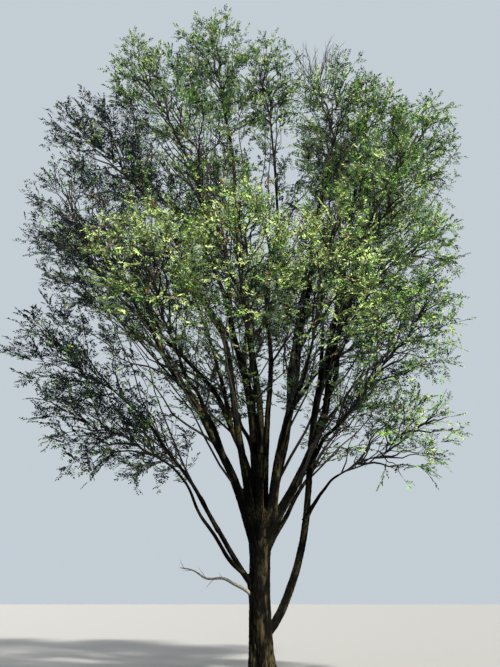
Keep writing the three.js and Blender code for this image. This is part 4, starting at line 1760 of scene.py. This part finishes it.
    def tubes(self, twigs: Twigs, shares: tuple[float, ...], foot: float) -> Shell:
        """Twigs as thin three-sided tubes, with a ring at each share of their length."""
        paths = np.stack([twigs.at(share) for share in shares], axis=1)
        radii = np.tile(foot * (1 - self.twig_taper * np.array(shares)), (len(twigs.length), 1))
        return pointed_tubes(paths, radii, 3)


@dataclass
class DeadWood:
    """The dead, bare limb low on the left, and the bare twigs at the top of the eastern lobe."""

    HALVES = np.array([[0.0], [0.5], [1.0]])

    trunk: Trunk
    height: float = 1.5
    tip: Triple = (192, 1.9, 2.25)
    lean: Pair = (50, 82)
    radii: Pair = (0.052, 0.011)
    wander: float = 0.05
    side_twigs: int = 7
    top_twigs: int = 34
    top_foot: Triple = (1.6, -0.5, 15.0)
    top_spread: Triple = (0.85, 0.6, 1.85)
    top_bow: float = 0.12
    top_radii: tuple[float, ...] = (0.009, 0.008, 0.006, 0.004, 0.0025)
    top_forks: tuple[float, ...] = (0.45, 0.6, 0.72, 0.85)  # where side twigs leave the main ones
    fork_length: Pair = (0.2, 0.6)
    fork_spread: float = 0.75
    fork_radii: Triple = (0.005, 0.0035, 0.002)
    side_span: Pair = (0.4, 0.95)  # of the low limb, where its side twigs leave
    side_angles: Pair = (35, 60)
    side_turn: float = 2.4
    side_length: Pair = (0.12, 0.38)
    side_radii: Triple = (0.007, 0.005, 0.002)
    crook: float = 0.02  # how far side twigs bend aside

    def build(self, bare_wood: Material, bark: Material) -> None:
        """Makes the low dead limb, and the leafless twigs over the eastern lobe, which keep their bark."""
        low = mesh_object("bare_dead_limb", self.low_limb(), True)
        top = mesh_object("bare_top_twigs", self.bare_top(), True)
        dress(low, bare_wood, ["dead_limb"])
        dress(top, bark, ["foliage_east"])

    def bare_top(self) -> Shell:
        """Thin, forked dead twigs that stand up through the leaves."""
        draw = np.random.default_rng(SEED + 5)
        count = self.top_twigs
        foot = np.array(self.top_foot) + either_way(draw, 0.35, (count, 3))
        aside = either_way(draw, 1, (count, 3)) * self.top_spread * (1, 1, 0)
        height = self.top_spread[2] * draw.uniform(0.75, 1.08, (count, 1))
        tip = np.array(self.top_foot) + aside + UP * height
        shares = np.array([0, 0.3, 0.6, 0.8, 1.0])
        bow = either_way(draw, self.top_bow, (count, 1, 3)) * np.sin(np.pi * shares)[:, None]
        main = foot[:, None] + (tip - foot)[:, None] * shares[:, None] + bow
        shells = [self.bare_twigs(main, self.top_radii, 5)]
        for share in self.top_forks:
            root = main[:, 2] + (main[:, 4] - main[:, 2]) * max(0, (share - 0.6) / 0.4)
            way = unit(tip - foot + either_way(draw, self.fork_spread, (count, 3)))
            reach = draw.uniform(*self.fork_length, (count, 1, 1)) * self.HALVES
            path = root[:, None] + way[:, None] * reach
            path[:, 1] += either_way(draw, self.crook, (count, 3))
            shells.append(self.bare_twigs(path, self.fork_radii, 4))
        return joined(shells)

    def low_limb(self) -> Shell:
        """The low limb with a few broken side twigs."""
        start = self.trunk.axis(self.height)[0]
        tip = place(*self.tip)
        first_way, last_way = (leaning(tip - start, degrees) for degrees in self.lean)
        line = CentreLine(start, first_way, tip, last_way, SeededNumbers(SEED), self.wander)
        share = np.linspace(0, 1, 40)
        foot, end = self.radii
        shells = [self.bare_twigs(line.at(share)[None], foot + (end - foot) * share, 9)]
        draw = np.random.default_rng(SEED + 3)
        count = self.side_twigs
        at = np.linspace(*self.side_span, count)
        turns = self.side_turn * np.arange(count)
        way = branching(line.along(at), draw.uniform(*self.side_angles, count), turns)
        reach = draw.uniform(*self.side_length, count)[:, None, None]
        paths = line.at(at)[:, None] + way[:, None] * reach * self.HALVES
        paths = paths + either_way(draw, self.crook, paths.shape) * self.HALVES
        shells.append(self.bare_twigs(paths, self.side_radii, 5))
        return joined(shells)

    def bare_twigs(self, paths: Array, radii: Any, sides: int) -> Shell:
        """Tubes along many paths that all have the same radii."""
        return pointed_tubes(paths, np.tile(radii, (len(paths), 1)), sides)


# Studio

@dataclass
class Studio:
    """A pale floor, soft light from the upper right, and the camera at the photograph's angle."""

    floor_colour: str = "#7a7975"  # pale once the sun is on it
    floor_size: float = 400
    floor_drop: float = 0.002  # below the cut under the trunk, so that the two don't share a plane
    floor_roughness: float = 0.9
    sky_colour: str = "#d3dde5"
    sky_strength: float = 0.85  # of the backdrop
    fill_colour: str = "#c3d6ec"
    fill_strength: float = 0.6  # of its light on the tree
    sunlight: Triple = (1.0, 0.97, 0.92)
    key_strength: float = 10.0
    key_angle: float = 5
    back_from: Triple = (-0.45, 0.8, 0.55)
    back_strength: float = 2.4  # so that the side away from the sun isn't black
    back_angle: float = 50
    eye: Triple = (-0.2628, -17.0, 1.6)
    pitch: float = 20.735
    lens: float = 37.78
    sensor: float = 36
    far_clip: float = 500

    def build(self) -> None:
        """Makes the floor, the lights and the camera."""
        bpy.ops.object.select_all(action="DESELECT")
        bpy.ops.mesh.primitive_plane_add(size=self.floor_size, location=(0, 0, -self.floor_drop))
        floor = bpy.context.object
        floor.name = "floor"
        material = bpy.data.materials.new("studio_floor")
        Nodes(material).surface(linear(self.floor_colour), self.floor_roughness)
        floor.data.materials.append(material)
        floor.visible_diffuse = False  # it throws no light up into the crown, as dark grass doesn't
        bpy.context.scene.world = self.sky()
        bpy.context.scene.view_settings.view_transform = "Standard"
        self.sun("key", KEY_FROM, self.key_strength, self.key_angle)
        self.sun("back", self.back_from, self.back_strength, self.back_angle)
        lens = bpy.data.cameras.new("camera")
        lens.lens = self.lens
        lens.sensor_width = self.sensor
        lens.clip_end = self.far_clip
        camera = bpy.data.objects.new("camera", lens)
        camera.location = self.eye
        camera.rotation_euler = (math.radians(90 + self.pitch), 0, 0)
        bpy.context.scene.collection.objects.link(camera)
        bpy.context.scene.camera = camera

    def sky(self) -> bpy.types.World:
        """A pale, even sky, whose light on the tree is weaker than it looks."""
        world = bpy.data.worlds.new("studio")
        nodes = Nodes(world)
        lit = ((self.fill_colour, self.fill_strength), (self.sky_colour, self.sky_strength))
        cast, seen = (nodes.add("Background", {0: linear(colour), 1: strength}) for colour, strength in lit)
        looked_at = nodes.add("LightPath", None, "Is Camera Ray")
        nodes.add("OutputWorld", {"Surface": nodes.add("MixShader", {0: looked_at, 1: cast, 2: seen})})
        return world

    def sun(self, name: str, source: Triple, strength: float, angle: float) -> None:
        """Adds a far light.

        Args:
            name: the lamp's name.
            source: the direction that it shines from.
            strength: its power.
            angle: how wide it is, in degrees, which sets how soft its shadows are.
        """
        light = bpy.data.lights.new(name, "SUN")
        light.energy = strength
        light.angle = math.radians(angle)
        light.color = self.sunlight
        lamp = bpy.data.objects.new(name, light)
        x, y, z = source
        lamp.rotation_euler = (math.atan2(math.hypot(x, y), z), 0, math.atan2(x, -y))
        bpy.context.scene.collection.objects.link(lamp)


def main() -> None:
    """Builds the tree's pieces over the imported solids, and the studio round them."""
    logging.basicConfig(level=logging.INFO, format="%(message)s")
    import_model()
    trunk = Trunk()
    limbs = grow_limbs(trunk)
    bark = FurrowedBark().make()
    skin = BarkSkin(trunk, limbs)
    skin.fused_skin(bark)
    skin.upper_limbs(bark)
    young_bark = twig_bark().make()
    Foliage(limbs).build(young_bark)
    DeadWood(trunk).build(bare_dead_wood().make(), young_bark)
    Studio().build()
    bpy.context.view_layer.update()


if __name__ == "__main__":
    main()
